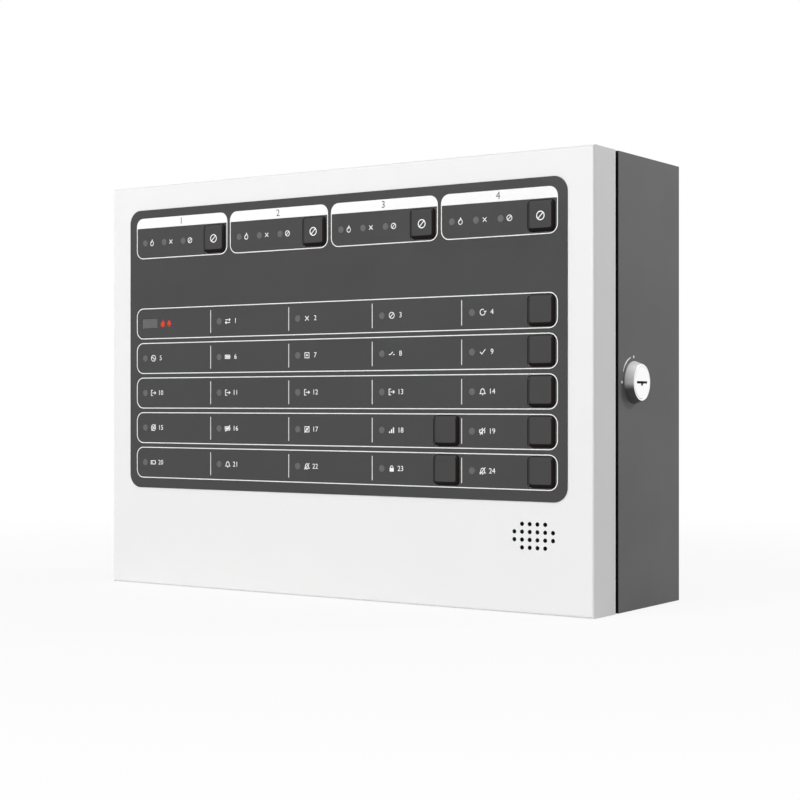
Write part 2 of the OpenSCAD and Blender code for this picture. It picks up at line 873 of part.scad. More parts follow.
module supply_terminals() {
    strip_h = supply_ledge - 2 * strip_edge;
    strip_mid_z = supply_bottom + supply_h - supply_ledge / 2;
    color(black) to_front(supply_left + supply_w / 2, wall_in_y - supply_base_t, strip_mid_z)
        terminal_strip(supply_ways, supply_w - 2 * strip_side, strip_h, supply_d / 2);
}

module mains_terminals() {
    color(mains_white) to_front(mains_x, wall_in_y, mains_z)
        terminal_strip(mains_ways, mains_w, mains_h, mains_d);
}

// Threaded stud with its nut and washer, drawn from the sheet that it stands on
module earth_post() {
    cylinder(r = earth_stud_r, h = earth_stud_l);
    cylinder(r = earth_washer_r, h = earth_washer_t);
    translate([0, 0, earth_washer_t]) cylinder(r = earth_nut_r, h = earth_nut_t, $fn = 6);
}

module earth_stud() {
    color(brass_gold) to_front(mains_x, wall_in_y, earth_z) earth_post();
}

// Batteries

module battery(left) {
    s = battery_lid_step;
    color(battery_grey) {
        block(
            [left + s, battery_front_y + s, -in_z],
            [left + battery_w - s, wall_in_y - battery_back_gap - s, battery_top_z - battery_lid_h]
        );
        block(
            [left, battery_front_y, battery_top_z - battery_lid_h],
            [left + battery_w, wall_in_y - battery_back_gap, battery_top_z]
        );
    }
}

module battery_1() {
    battery(battery_left);
}

module battery_2() {
    battery(battery_left + battery_w);
}

module battery_tabs() {
    tab_y = battery_front_y + tab_side - tab_t / 2;
    color(brass_gold)
        for (left = [battery_left, battery_left + battery_w])
            for (x = [left + tab_side, left + battery_w - tab_side])
                translate([x - tab_w / 2, tab_y, battery_top_z]) cube([tab_w, tab_t, tab_h]);
}

module battery_strap() {
    low = strap_mid_z - strap_h / 2;
    high = strap_mid_z + strap_h / 2;
    strap_y = battery_front_y - strap_t;
    foot_y = wall_in_y - strap_t;
    color(zinc) difference() {
        union() {
            block([strap_left, strap_y, low], [strap_right, battery_front_y, high]);
            block([strap_left, strap_y, low], [strap_left + strap_t, wall_in_y, high]);
            block([strap_right - strap_t, strap_y, low], [strap_right, wall_in_y, high]);
            block([strap_left - strap_foot, foot_y, low], [strap_left + strap_t, wall_in_y, high]);
            block([strap_right - strap_t, foot_y, low], [strap_right + strap_foot, wall_in_y, high]);
        }
        for (x = strap_screw_xs)
            to_front(x, wall_in_y + cut, strap_mid_z)
                cylinder(r = screw_r + screw_gap, h = strap_t + 2 * cut);
    }
}

module strap_screws() {
    color(zinc) for (x = strap_screw_xs) to_front(x, wall_in_y - strap_t, strap_mid_z)
        cross_screw(screw_r, screw_head_r, screw_head_h, strap_t);
}

// Turning parts of the lock

module lock_plug() {
    face_x = half_w + lock_head_h;
    color(chrome) difference() {
        union() {
            to_right(face_x - face_t, lock_y, 0) cylinder(r = face_r, h = face_t);
            to_right(plug_end_x, lock_y, 0) cylinder(r = plug_r, h = face_x - plug_end_x);
        }
        block(
            [face_x - keyway_depth, lock_y - keyway_w / 2, -keyway_t / 2],
            [face_x + cut, lock_y + keyway_w / 2, keyway_t / 2]
        );
        to_right(face_x - keyway_depth, lock_y, -keyway_t / 2) cylinder(r = notch_r, h = keyway_depth + cut);
        to_right(plug_end_x - cut, lock_y, 0) cylinder(r = cam_screw_r + plug_gap, h = cam_screw_l + 2 * cut);
    }
}

module lock_cam() {
    color(zinc) translate([0, lock_y, 0]) difference() {
        union() {
            to_right(cam_x, 0, 0) cylinder(r = cam_boss_r, h = cam_t);
            block([cam_x, -cam_half_w, -cam_reach], [cam_x + cam_t, cam_half_w, 0]);
            block([cam_x, -hook_h, -cam_reach], [cam_x + cam_t, cam_half_w, -hook_reach]);
        }
        to_right(cam_x - cut, 0, 0) cylinder(r = cam_screw_r + plug_gap, h = cam_t + 2 * cut);
    }
}

module cam_screw() {
    color(zinc) {
        to_right(cam_x - cam_screw_head_h, lock_y, 0)
            cylinder(r = cam_screw_head_r, h = cam_screw_head_h, $fn = 6);
        to_right(cam_x - cut / 2, lock_y, 0) cylinder(r = cam_screw_r, h = cam_t + cam_screw_l);
    }
}

// Door and what is fixed to it

module door_shell() {
    color(door_white) difference() {
        to_front(0, door_back_y, 0) folded_tray(door_d);
        to_front(0, door_in_y + cut, 0) linear_extrude(sheet_t + 2 * cut) {
            front_apertures();
            for (p = sound_spots) translate(p) circle(sound_hole_r);
        }
    }
}

module fascia() {
    color(fascia_grey) to_front(0, front_y, 0) linear_extrude(fascia_t) difference() {
        translate([0, fascia_mid_z]) rounded_rect(fascia_w, fascia_h, fascia_r);
        front_apertures();
    }
}

// A round window flush with the fascia, with a collar behind the door
module lamp_window() {
    cylinder(r = lamp_r, h = lamp_collar_t + sheet_t + fascia_t);
    cylinder(r = lamp_r + lamp_collar, h = lamp_collar_t);
}

module zone_lamps() {
    color(lamp_grey) for (p = zone_lamp_spots)
        to_front(p[0], door_in_y + lamp_collar_t, p[1]) lamp_window();
}

module status_lamps() {
    color(lamp_grey) for (p = status_lamp_spots)
        to_front(p[0], door_in_y + lamp_collar_t, p[1]) lamp_window();
}

module alarm_lamp() {
    collar_w = alarm_w + 2 * lamp_collar;
    collar_h = alarm_h + 2 * lamp_collar;
    color(lamp_grey) to_front(alarm_spot[0], door_in_y + lamp_collar_t, alarm_spot[1]) {
        linear_extrude(lamp_collar_t + sheet_t + fascia_t) square([alarm_w, alarm_h], center = true);
        linear_extrude(lamp_collar_t) square([collar_w, collar_h], center = true);
    }
}

module display_board() {
    color(board_green) difference() {
        block([display_left, display_y, display_bottom], [display_right, display_rear_y, display_top]);
        for (p = display_pillar_spots)
            to_front(p[0], display_rear_y + cut, p[1]) cylinder(r = stud_r + stud_gap, h = board_t + 2 * cut);
    }
}

module led() {
    cylinder(r = led_r, h = led_h - led_r);
    translate([0, 0, led_h - led_r]) sphere(led_r);
}

module display_leds() {
    alarm_leds = [for (s = [-1, 1]) [alarm_spot[0] + s * alarm_w / 4, alarm_spot[1]]];
    color(led_clear) for (p = concat(zone_lamp_spots, status_lamp_spots, alarm_leds))
        to_front(p[0], display_y, p[1]) led();
}

module key_switches() {
    color(black) for (p = key_spots) to_front(p[0], display_y, p[1]) difference() {
        linear_extrude(switch_h) square(switch_w, center = true);
        translate([0, 0, switch_floor]) cylinder(r = stem_r + stem_gap, h = switch_h);
    }
}

module display_pillars() {
    color(zinc) for (p = display_pillar_spots) to_front(p[0], display_y, p[1]) {
        cylinder(r = pillar_r, h = display_back);
        translate([0, 0, -board_t - stud_reach]) cylinder(r = stud_r, h = board_t + stud_reach);
    }
}

module display_nuts() {
    color(zinc) for (p = display_pillar_spots) to_front(p[0], display_rear_y + nut_t, p[1]) difference() {
        cylinder(r = nut_r, h = nut_t, $fn = 6);
        translate([0, 0, -cut]) cylinder(r = stud_r + plug_gap, h = nut_t + 2 * cut);
    }
}

// Turns the children so that their Z points from the display board to the wall
module to_back(x, z) {
    translate([x, display_rear_y, z]) rotate([-90, 0, 0]) children();
}

module display_header() {
    color(black) to_back(display_header_x, band_z) header();
}

module display_chips() {
    color(black) {
        to_back(display_chip_x, band_z) linear_extrude(chip_t) square(display_chip_w, center = true);
        for (i = [0:driver_count - 1])
            to_back((i - (driver_count - 1) / 2) * driver_pitch, row_z(2))
                linear_extrude(chip_t) square(driver_size, center = true);
    }
}

module sounder() {
    color(black) to_front(sounder_x, door_in_y + sounder_gasket_t + sounder_d, sounder_z) difference() {
        cylinder(r = sounder_r, h = sounder_d);
        translate([0, 0, sounder_d - sounder_port_d]) cylinder(r = sounder_port_r, h = sounder_port_d + cut);
    }
}

module sounder_gasket() {
    color(black) to_front(sounder_x, door_in_y + sounder_gasket_t, sounder_z) difference() {
        cylinder(r = sounder_r, h = sounder_gasket_t);
        translate([0, 0, -cut]) cylinder(r = sounder_r - sounder_gasket_w, h = sounder_gasket_t + 2 * cut);
    }
}

module sounder_clamp() {
    leg_x = sounder_r + clamp_gap;
    bridge_y = door_in_y + sounder_gasket_t + sounder_d;
    color(zinc) translate([sounder_x, 0, sounder_z]) {
        block([-leg_x - clamp_t, bridge_y, -clamp_w / 2], [leg_x + clamp_t, bridge_y + clamp_t, clamp_w / 2]);
        for (s = [-1, 1]) {
            leg_mid = s * (leg_x + clamp_t / 2);
            foot_mid = s * (leg_x + clamp_foot / 2);
            block(
                [leg_mid - clamp_t / 2, door_in_y, -clamp_w / 2],
                [leg_mid + clamp_t / 2, bridge_y, clamp_w / 2]
            );
            block(
                [foot_mid - clamp_foot / 2, door_in_y, -clamp_w / 2],
                [foot_mid + clamp_foot / 2, door_in_y + clamp_t, clamp_w / 2]
            );
        }
    }
}

module hinge_arm() {
    reach = door_in_y - hinge_y;
    linear_extrude(arm_t, center = true) difference() {
        union() {
            circle(eye_r);
            translate([0, -arm_low]) square([arm_leg_x + arm_leg_w, arm_low + eye_r]);
            translate([arm_leg_x, reach]) square([arm_leg_w, eye_r - reach]);
        }
        circle(pin_r + hinge_clear);
    }
    block(
        [arm_leg_x, reach, -arm_foot_h / 2],
        [arm_leg_x + arm_foot_w, reach + arm_foot_t, arm_foot_h / 2]
    );
}

module hinge_arms() {
    color(zinc) for (s = [-1, 1]) translate([hinge_x, hinge_y, s * hinge_z]) hinge_arm();
}

module lock_strike() {
    color(zinc) {
        block(
            [cam_x - strike_past, strike_front_y, strike_low_z],
            [in_x, strike_front_y + strike_t, strike_low_z + strike_h]
        );
        block(
            [in_x - strike_t, strike_front_y - strike_foot, strike_low_z],
            [in_x, strike_front_y, strike_low_z + strike_h]
        );
    }
}

module door_earth_stud() {
    color(brass_gold) translate([door_earth_x, door_in_y, sounder_z]) rotate([-90, 0, 0]) earth_post();
}

// A key: a pillowed cap, a skirt in the aperture, a flange behind the door and a stem to its switch
module key_slice(w, top) {
    translate([0, 0, top - key_slice_t])
        linear_extrude(key_slice_t) rounded_rect(w, w, key_corner_r, $fn = hull_fn);
}

module key_cap() {
    hull() {
        key_slice(key_w, key_edge_h);
        key_slice((2 * key_w + key_top_w) / 3, key_rise * key_shoulder);
        key_slice(key_top_w, key_rise);
    }
}

module key(spot) {
    flange_w = key_w + 2 * (key_gap + key_flange);
    flange_back_y = door_in_y + key_rest_gap + key_flange_t;
    stem_l = key_travel + press_gap + stem_entry;
    color(key_grey) {
        to_front(spot[0], fascia_y, spot[1]) key_cap();
        to_front(spot[0], flange_back_y, spot[1])
            linear_extrude(flange_back_y - fascia_y + key_edge_h) rounded_rect(key_w, key_w, key_corner_r);
        to_front(spot[0], flange_back_y, spot[1])
            linear_extrude(key_flange_t) square(flange_w, center = true);
        to_front(spot[0], flange_back_y + stem_l, spot[1]) cylinder(r = stem_r, h = stem_l);
    }
}

back_box();
door_seal();
cable_grommets();
hinge_brackets();
hinge_pins();
lock_housing();
lock_nut();
main_board();
board_pillars();
board_screws();
field_terminals();
terminal_screws();
relays();
main_chips();
capacitors();
fuse_holders();
fuses();
main_header();
supply_case();
supply_terminals();
mains_terminals();
battery_1();
battery_2();
battery_tabs();
battery_strap();
strap_screws();
earth_stud();
lock_plug();
lock_cam();
cam_screw();
door_shell();
fascia();
zone_lamps();
status_lamps();
alarm_lamp();
display_board();
display_leds();
key_switches();
display_pillars();
display_nuts();
display_header();
display_chips();
sounder();
sounder_gasket();
sounder_clamp();
hinge_arms();
lock_strike();
door_earth_stud();
for (i = [0:zone_count - 1])
    key(zone_key_spots[i]);
for (i = [0:control_key_count - 1])
    key(control_key_spots[i]);
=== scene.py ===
"""Looks of a wall-mounted fire alarm control panel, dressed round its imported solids."""
import json
import math

import bmesh
import bpy
from mathutils import Matrix, Vector


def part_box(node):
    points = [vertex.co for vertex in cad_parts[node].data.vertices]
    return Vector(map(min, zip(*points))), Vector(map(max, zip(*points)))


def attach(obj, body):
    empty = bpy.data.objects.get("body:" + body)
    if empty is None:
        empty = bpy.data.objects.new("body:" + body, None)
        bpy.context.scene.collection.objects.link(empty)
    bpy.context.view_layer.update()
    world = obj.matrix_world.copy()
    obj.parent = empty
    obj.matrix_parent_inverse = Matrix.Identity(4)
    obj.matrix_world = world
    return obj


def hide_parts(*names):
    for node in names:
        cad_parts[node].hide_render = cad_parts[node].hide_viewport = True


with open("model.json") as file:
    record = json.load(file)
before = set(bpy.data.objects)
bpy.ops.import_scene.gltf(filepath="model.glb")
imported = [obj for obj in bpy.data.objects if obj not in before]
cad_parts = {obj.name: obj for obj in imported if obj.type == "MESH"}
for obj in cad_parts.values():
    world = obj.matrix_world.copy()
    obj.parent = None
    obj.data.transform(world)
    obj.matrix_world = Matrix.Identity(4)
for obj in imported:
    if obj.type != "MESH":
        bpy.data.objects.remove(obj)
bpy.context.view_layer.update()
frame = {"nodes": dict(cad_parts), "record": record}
scene = bpy.context.scene
MM = 0.001


# Reading the frame, in millimetres


def box(node):
    """Lowest and highest corner of a node."""
    low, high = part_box(node)
    return low / MM, high / MM


def middle(bounds):
    return (bounds[0] + bounds[1]) / 2


def solids(node):
    """Boxes of the separate solids of a node, row by row from the top left."""
    mesh = bmesh.new()
    mesh.from_mesh(frame["nodes"][node].data)
    bmesh.ops.remove_doubles(mesh, verts=mesh.verts[:], dist=0.001 * MM)
    seen = set()
    found = []
    for start in mesh.verts:
        if start in seen:
            continue
        seen.add(start)
        group = [start]
        for vert in group:
            near = [edge.other_vert(vert) for edge in vert.link_edges]
            fresh = [other for other in near if other not in seen]
            seen.update(fresh)
            group += fresh
        places = [vert.co / MM for vert in group]
        low = Vector([min(place[k] for place in places) for k in range(3)])
        high = Vector([max(place[k] for place in places) for k in range(3)])
        found.append((low, high))
    mesh.free()
    return sorted(found, key=lambda bounds: (-round(bounds[0].z), bounds[0].x))


def spots(node):
    """Middles of the separate solids of a node, as (x, z) seen from the front."""
    return [outline[:2] for outline in footprints(node)]


def footprint(bounds):
    """Middle and size of a solid as seen from the front."""
    low, high = bounds
    mid = middle(bounds)
    return mid.x, mid.z, high.x - low.x, high.z - low.z


def footprints(node):
    return [footprint(bounds) for bounds in solids(node)]


# Materials


def grey(level):
    return (level, level, level)


def shade(colour, factor=1.0):
    return (*[min(1.0, part * factor) for part in colour], 1.0)


finishes = {}


class Finish:
    """A node material round a Principled shader, kept by its name, with short ways to add nodes."""

    def __init__(self, name):
        material = bpy.data.materials.new(name)
        material.use_nodes = True
        finishes[name] = material
        self.tree = material.node_tree
        self.shader = self.tree.nodes["Principled BSDF"]
        self.coordinates = self.node("ShaderNodeTexCoord")
        self.place = self.coordinates.outputs["Object"]

    def node(self, kind, **settings):
        made = self.tree.nodes.new(kind)
        for key, value in settings.items():
            setattr(made, key, value)
        return made

    def join(self, value, socket):
        """Links an output to a socket, or sets the socket to a plain value."""
        if isinstance(value, bpy.types.NodeSocket):
            self.tree.links.new(value, socket)
        else:
            socket.default_value = value

    def fill(self, made, **values):
        """Sets or links the inputs of a node."""
        for key, value in values.items():
            self.join(value, made.inputs[key.replace("_", " ")])
        return made

    def set(self, **values):
        self.fill(self.shader, **values)

    def noise(self, scale, detail=2.0, stretch=(1, 1, 1)):
        place = self.fill(self.node("ShaderNodeMapping"), Vector=self.place, Scale=stretch)
        made = self.node("ShaderNodeTexNoise")
        self.fill(made, Vector=place.outputs["Vector"], Scale=scale, Detail=detail)
        return made.outputs["Fac"]

    def span(self, value, low, high, out_low=0.0, out_high=1.0):
        """A soft step of a value from one range to another."""
        made = self.node("ShaderNodeMapRange", interpolation_type="SMOOTHSTEP")
        self.fill(made, Value=value, From_Min=low, From_Max=high, To_Min=out_low, To_Max=out_high)
        return made.outputs["Result"]

    def math(self, operation, *values):
        made = self.node("ShaderNodeMath", operation=operation)
        for socket, value in zip(made.inputs, values):
            self.join(value, socket)
        return made.outputs["Value"]

    def blend(self, share, first, second):
        """A colour between two, by a share."""
        made = self.node("ShaderNodeMix", data_type="RGBA")
        self.join(share, made.inputs["Factor"])
        sockets = [socket for socket in made.inputs if socket.type == "RGBA"]
        self.join(first, sockets[0])
        self.join(second, sockets[1])
        return next(socket for socket in made.outputs if socket.type == "RGBA")

    def bump(self, height, depth):
        made = self.fill(self.node("ShaderNodeBump"), Height=height, Distance=depth * MM)
        return made.outputs["Normal"]

    def facing(self, direction):
        """How far the surface faces a direction of the object."""
        made = self.node("ShaderNodeVectorMath", operation="DOT_PRODUCT")
        self.join(self.coordinates.outputs["Normal"], made.inputs[0])
        made.inputs[1].default_value = direction
        return made.outputs["Value"]

    def split_place(self):
        made = self.fill(self.node("ShaderNodeSeparateXYZ"), Vector=self.place)
        return made.outputs["X"], made.outputs["Y"], made.outputs["Z"]

    def length(self, a, b):
        """Length of the way with these two parts."""
        squares = [self.math("MULTIPLY", part, part) for part in (a, b)]
        return self.math("SQRT", self.math("ADD", *squares))

    def pair(self, a, b):
        """A place on a plane."""
        return self.fill(self.node("ShaderNodeCombineXYZ"), X=a, Y=b).outputs["Vector"]


# Near black painted shade for the walls of holes and the floors of vents
PAINTED_HOLE_SHADE = shade(grey(0.004))


def sound_holes(made):
    """A mask of the walls of the holes in front of the sounder, where near black painted shade goes."""
    low, high = box("sounder")
    mid = middle((low, high)) * MM
    half = (high.x - low.x) / 2 * MM
    x, _, z = made.split_place()
    away = made.length(made.math("SUBTRACT", x, mid.x), made.math("SUBTRACT", z, mid.z))
    turned_in = made.span(made.math("ABSOLUTE", made.facing((0, 1, 0))), 0.3, 0.7, 1.0, 0.0)
    return made.math("MULTIPLY", turned_in, made.math("LESS_THAN", away, half))


def supply_vents(made):
    """A mask of the floors of the vents, which are sunk in the front of the supply, where near black painted
    shade goes.
    """
    _, y, _ = made.split_place()
    depth = made.math("SUBTRACT", y, box("supply_case")[0].y * MM)
    sunk = made.span(depth, 0.7 * MM, 1.2 * MM)
    shallow = made.span(depth, 2.5 * MM, 3.0 * MM, 1.0, 0.0)
    forward = made.span(made.facing((0, -1, 0)), 0.3, 0.7)
    return made.math("MULTIPLY", made.math("MULTIPLY", sunk, shallow), forward)


def plain(
    name, colour, rough, mottle=0.05, mottle_scale=60, grain_scale=2600, grain=0.015, gleam=0.3, black=None
):
    """Paint, plastic or ink with a slow drift of tone, uneven gloss and a fine grain, and near black painted
    shade where masked.
    """
    made = Finish(name)
    drift = made.noise(mottle_scale, 3)
    tone = made.blend(drift, shade(colour, 1 - mottle), shade(colour, 1 + mottle))
    if black:
        # Near black painted shade where the mask says
        tone = made.blend(black(made), tone, PAINTED_HOLE_SHADE)
    made.set(
        Base_Color=tone,
        Roughness=made.span(drift, 0.3, 0.7, rough * 0.9, rough * 1.1),
        Normal=made.bump(made.noise(grain_scale), grain),
        Specular_IOR_Level=gleam,
    )


def metal(name, colour, rough, stretch=(1, 1, 1), brush_scale=400, black=None):
    """Bare or plated metal with marks drawn along one direction, and near black painted shade where masked.
    """
    made = Finish(name)
    marks = made.noise(brush_scale, 4, stretch)
    tone = made.blend(made.noise(45, 3), shade(colour, 0.93), shade(colour, 1.06))
    if black:
        # Near black painted shade where the mask says
        tone = made.blend(black(made), tone, PAINTED_HOLE_SHADE)
    made.set(
        Base_Color=tone,
        Roughness=made.span(marks, 0.25, 0.75, rough * 0.8, rough * 1.2),
        Normal=made.bump(marks, 0.008),
        Metallic=1.0,
    )


def clear(name, colour):
    """Clear epoxy or glass with faint swirls."""
    made = Finish(name)
    drift = made.noise(300)
    made.set(
        Base_Color=made.blend(drift, shade(colour, 0.95), shade(colour)),
        Roughness=made.span(drift, 0.3, 0.7, 0.04, 0.10),
        Transmission_Weight=0.8,
        IOR=1.5,
    )


def key_finish():
    """Dark keys: the face as grey as the film, and painted shade on the flanks by the way they face: the
    right and lower flanks almost black, the left half so.
    """
    made = Finish("key_plastic")
    drift = made.noise(90, 3)
    face = made.blend(drift, shade(grey(0.058)), shade(grey(0.064)))
    # Painted shade: the flanks are darkened by the way they face, standing in for the shade and shadow of a
    # raised key lit from the upper left
    right = made.span(made.facing((1, 0, 0)), 0.12, 0.30)
    lower = made.span(made.facing((0, 0, -1)), 0.12, 0.30)
    left = made.span(made.facing((-1, 0, 0)), 0.15, 0.40, 0.0, 0.55)
    painted_flank_shade = made.math("MAXIMUM", made.math("MAXIMUM", right, lower), left)
    made.set(
        Base_Color=made.blend(painted_flank_shade, face, (0.006, 0.003, 0.003, 1)),
        Roughness=made.span(drift, 0.3, 0.7, 0.52, 0.62),
        Normal=made.bump(made.noise(3200), 0.012),
        Specular_IOR_Level=0.1,
    )


def lock_finish():
    """Bright plate on the lock's face, and a satin taper with painted shade and a painted highlight: its
    colour darkens from its top to its foot.
    """
    made = Finish("lock_chrome")
    turned_marks = made.noise(900, 4)
    upward = made.facing((0, 0, 1))
    # Painted shade at the foot of the taper and a painted highlight at its top, by the way the surface faces
    # up
    lower = made.blend(made.span(upward, -0.36, 0.02), shade(grey(0.050)), shade(grey(0.46)))
    taper = made.blend(made.span(upward, 0.0, 0.9), lower, shade(grey(0.95)))
    outward = made.span(made.facing((1, 0, 0)), 0.45, 0.80)
    gloss = made.span(turned_marks, 0.25, 0.75, 0.16, 0.22)
    made.set(
        Base_Color=made.blend(outward, taper, shade(grey(0.96))),
        Roughness=made.math("ADD", gloss, made.span(outward, 0.0, 1.0, 0.35, 0.0)),
        Normal=made.bump(turned_marks, 0.006),
        Metallic=made.span(outward, 0.0, 1.0, 0.45, 1.0),
    )


def board_finish(name, seed):
    """Solder mask over patches of tracks that run across or up the board, with plated holes."""
    patch = 14 * MM
    track_half_pitch = 0.7 * MM
    made = Finish(name)
    x, _, z = made.split_place()
    cell = [made.math("SNAP", made.math("ADD", value, seed), patch) for value in (x, z)]
    dice = made.node("ShaderNodeTexWhiteNoise", noise_dimensions="2D")
    made.fill(dice, Vector=made.pair(*cell))
    upright_share = made.math("GREATER_THAN", dice.outputs["Value"], 0.5)
    level_share = made.math("SUBTRACT", 1.0, upright_share)
    across = made.math("MULTIPLY", x, upright_share)
    along = made.math("ADD", across, made.math("MULTIPLY", z, level_share))
    wave = made.math("PINGPONG", along, track_half_pitch)
    track = made.span(wave, 0.22 * MM, 0.32 * MM, 1.0, 0.0)
    throws = made.fill(made.node("ShaderNodeSeparateColor"), Color=dice.outputs["Color"])
    track = made.math("MULTIPLY", track, made.math("GREATER_THAN", throws.outputs["Green"], 0.35))
    holes = made.node("ShaderNodeTexVoronoi", voronoi_dimensions="2D")
    made.fill(holes, Vector=made.pair(x, z), Scale=190)
    ring = made.span(holes.outputs["Distance"], 0.07, 0.09, 1.0, 0.0)
    drift = made.noise(70, 3)
    mask = made.blend(drift, (0.010, 0.085, 0.034, 1), (0.014, 0.110, 0.045, 1))
    tracked = made.blend(track, mask, (0.024, 0.170, 0.070, 1))
    made.set(
        Base_Color=made.blend(ring, tracked, (0.40, 0.38, 0.28, 1)),
        Roughness=made.span(drift, 0.3, 0.7, 0.32, 0.42),
        Normal=made.bump(track, 0.03),
        Specular_IOR_Level=0.35,
    )


def foam_finish():
    made = Finish("black_foam")
    cells = made.fill(made.node("ShaderNodeTexVoronoi"), Vector=made.place, Scale=1400)
    pit = cells.outputs["Distance"]
    made.set(
        Base_Color=made.blend(pit, shade(grey(0.006)), shade(grey(0.018))),
        Roughness=made.span(pit, 0.2, 0.8, 0.85, 0.97),
        Normal=made.bump(pit, 0.2),
        Specular_IOR_Level=0.1,
    )


# Paints, plastics and inks: colour, roughness, mottle and its scale, grain's scale and depth, gleam, mask of
# painted shade
plain("box_paint", (0.122, 0.122, 0.124), 0.50, 0.03, 18, 2400, 0.016, 0.30)
plain("door_paint", (0.862, 0.862, 0.860), 0.45, 0.012, 14, 1500, 0.010, 0.4, sound_holes)
plain("fascia_film", (0.0545, 0.0545, 0.0550), 0.58, 0.03, 30, 5200, 0.008, 0.2)
plain("lamp_lens", (0.125, 0.125, 0.127), 0.30, 0.04, 400, 3000, 0.004, 0.25)
plain("black_plastic", grey(0.016), 0.42, 0.12, 120, 3000, 0.02)
plain("chip_plastic", grey(0.020), 0.55, 0.12, 200, 4200, 0.02, 0.25)
plain("terminal_green", (0.05, 0.30, 0.11), 0.40, 0.08, 90)
plain("relay_blue", (0.035, 0.15, 0.40), 0.30, 0.07, 90, 2600, 0.010)
plain("white_plastic", (0.74, 0.74, 0.70), 0.42, 0.04, 90)
plain("battery_case", (0.040, 0.042, 0.048), 0.45, 0.10, 50, 1900, 0.03)
plain("black_rubber", grey(0.013), 0.72, 0.15, 90, 1700, 0.04, 0.15)
plain("white_ink", grey(0.97), 0.60, 0.015, 200, 3600, 0.01, 0.1)
plain("line_ink", grey(0.80), 0.60, 0.015, 200, 3600, 0.01, 0.1)
plain("grey_ink", grey(0.10), 0.60, 0.04, 200, 3600, 0.01, 0.1)
plain("red_ink", (0.78, 0.055, 0.026), 0.55, 0.04, 200, 3600, 0.01, 0.1)
plain("silk_ink", grey(0.70), 0.60, 0.05, 300, 3600, 0.01, 0.2)
plain("capacitor_sleeve", (0.016, 0.019, 0.032), 0.32, 0.10, 120)
plain("part_black", grey(0.028), 0.40, 0.10, 400, 5000, 0.01)
plain("part_tan", (0.42, 0.28, 0.16), 0.45, 0.08, 400, 5000, 0.01)
# Metals: colour, roughness, stretch and scale of the marks, mask of painted shade
metal("zinc_steel", (0.60, 0.61, 0.63), 0.34, brush_scale=260)
metal("supply_metal", (0.66, 0.67, 0.68), 0.38, (1, 1, 14), 240, supply_vents)
metal("brass", (0.74, 0.54, 0.22), 0.28, brush_scale=500)
metal("gold_plate", (0.86, 0.64, 0.28), 0.22, brush_scale=900)
metal("solder", (0.72, 0.72, 0.73), 0.25, brush_scale=1500)
# Glass, and finishes with a look of their own
key_finish()
clear("led_epoxy", (0.90, 0.88, 0.80))
clear("fuse_glass", (0.94, 0.96, 0.95))
lock_finish()
board_finish("board_main", 0.0)
board_finish("board_display", 0.5)
foam_finish()

# Mesh building


def arc(u, v, r, start, end, steps=16):
    """Points along a circle, by degrees."""
    turns = [math.radians(start + (end - start) * k / steps) for k in range(steps + 1)]
    return [(u + r * math.cos(turn), v + r * math.sin(turn)) for turn in turns]


def circle(u, v, r, steps=24):
    return arc(u, v, r, 0, 360 - 360 / steps, steps - 1)


def rounded_loop(u, v, w, h, radii, steps=6):
    """Points round a rectangle, anticlockwise from its lower right, with one radius or one per corner."""
    if not isinstance(radii, tuple):
        radii = (radii,) * 4
    corners = ((1, -1, -90), (1, 1, 0), (-1, 1, 90), (-1, -1, 180))
    points = []
    for (su, sv, start), r in zip(corners, radii):
        points += arc(u + su * (w / 2 - r), v + sv * (h / 2 - r), r, start, start + 90, steps)
    return points


def turned(points, degrees, u, v):
    """Points turned about zero and then moved to a place."""
    c = math.cos(math.radians(degrees))
    s = math.sin(math.radians(degrees))
    return [(u + a * c - b * s, v + a * s + b * c) for a, b in points]


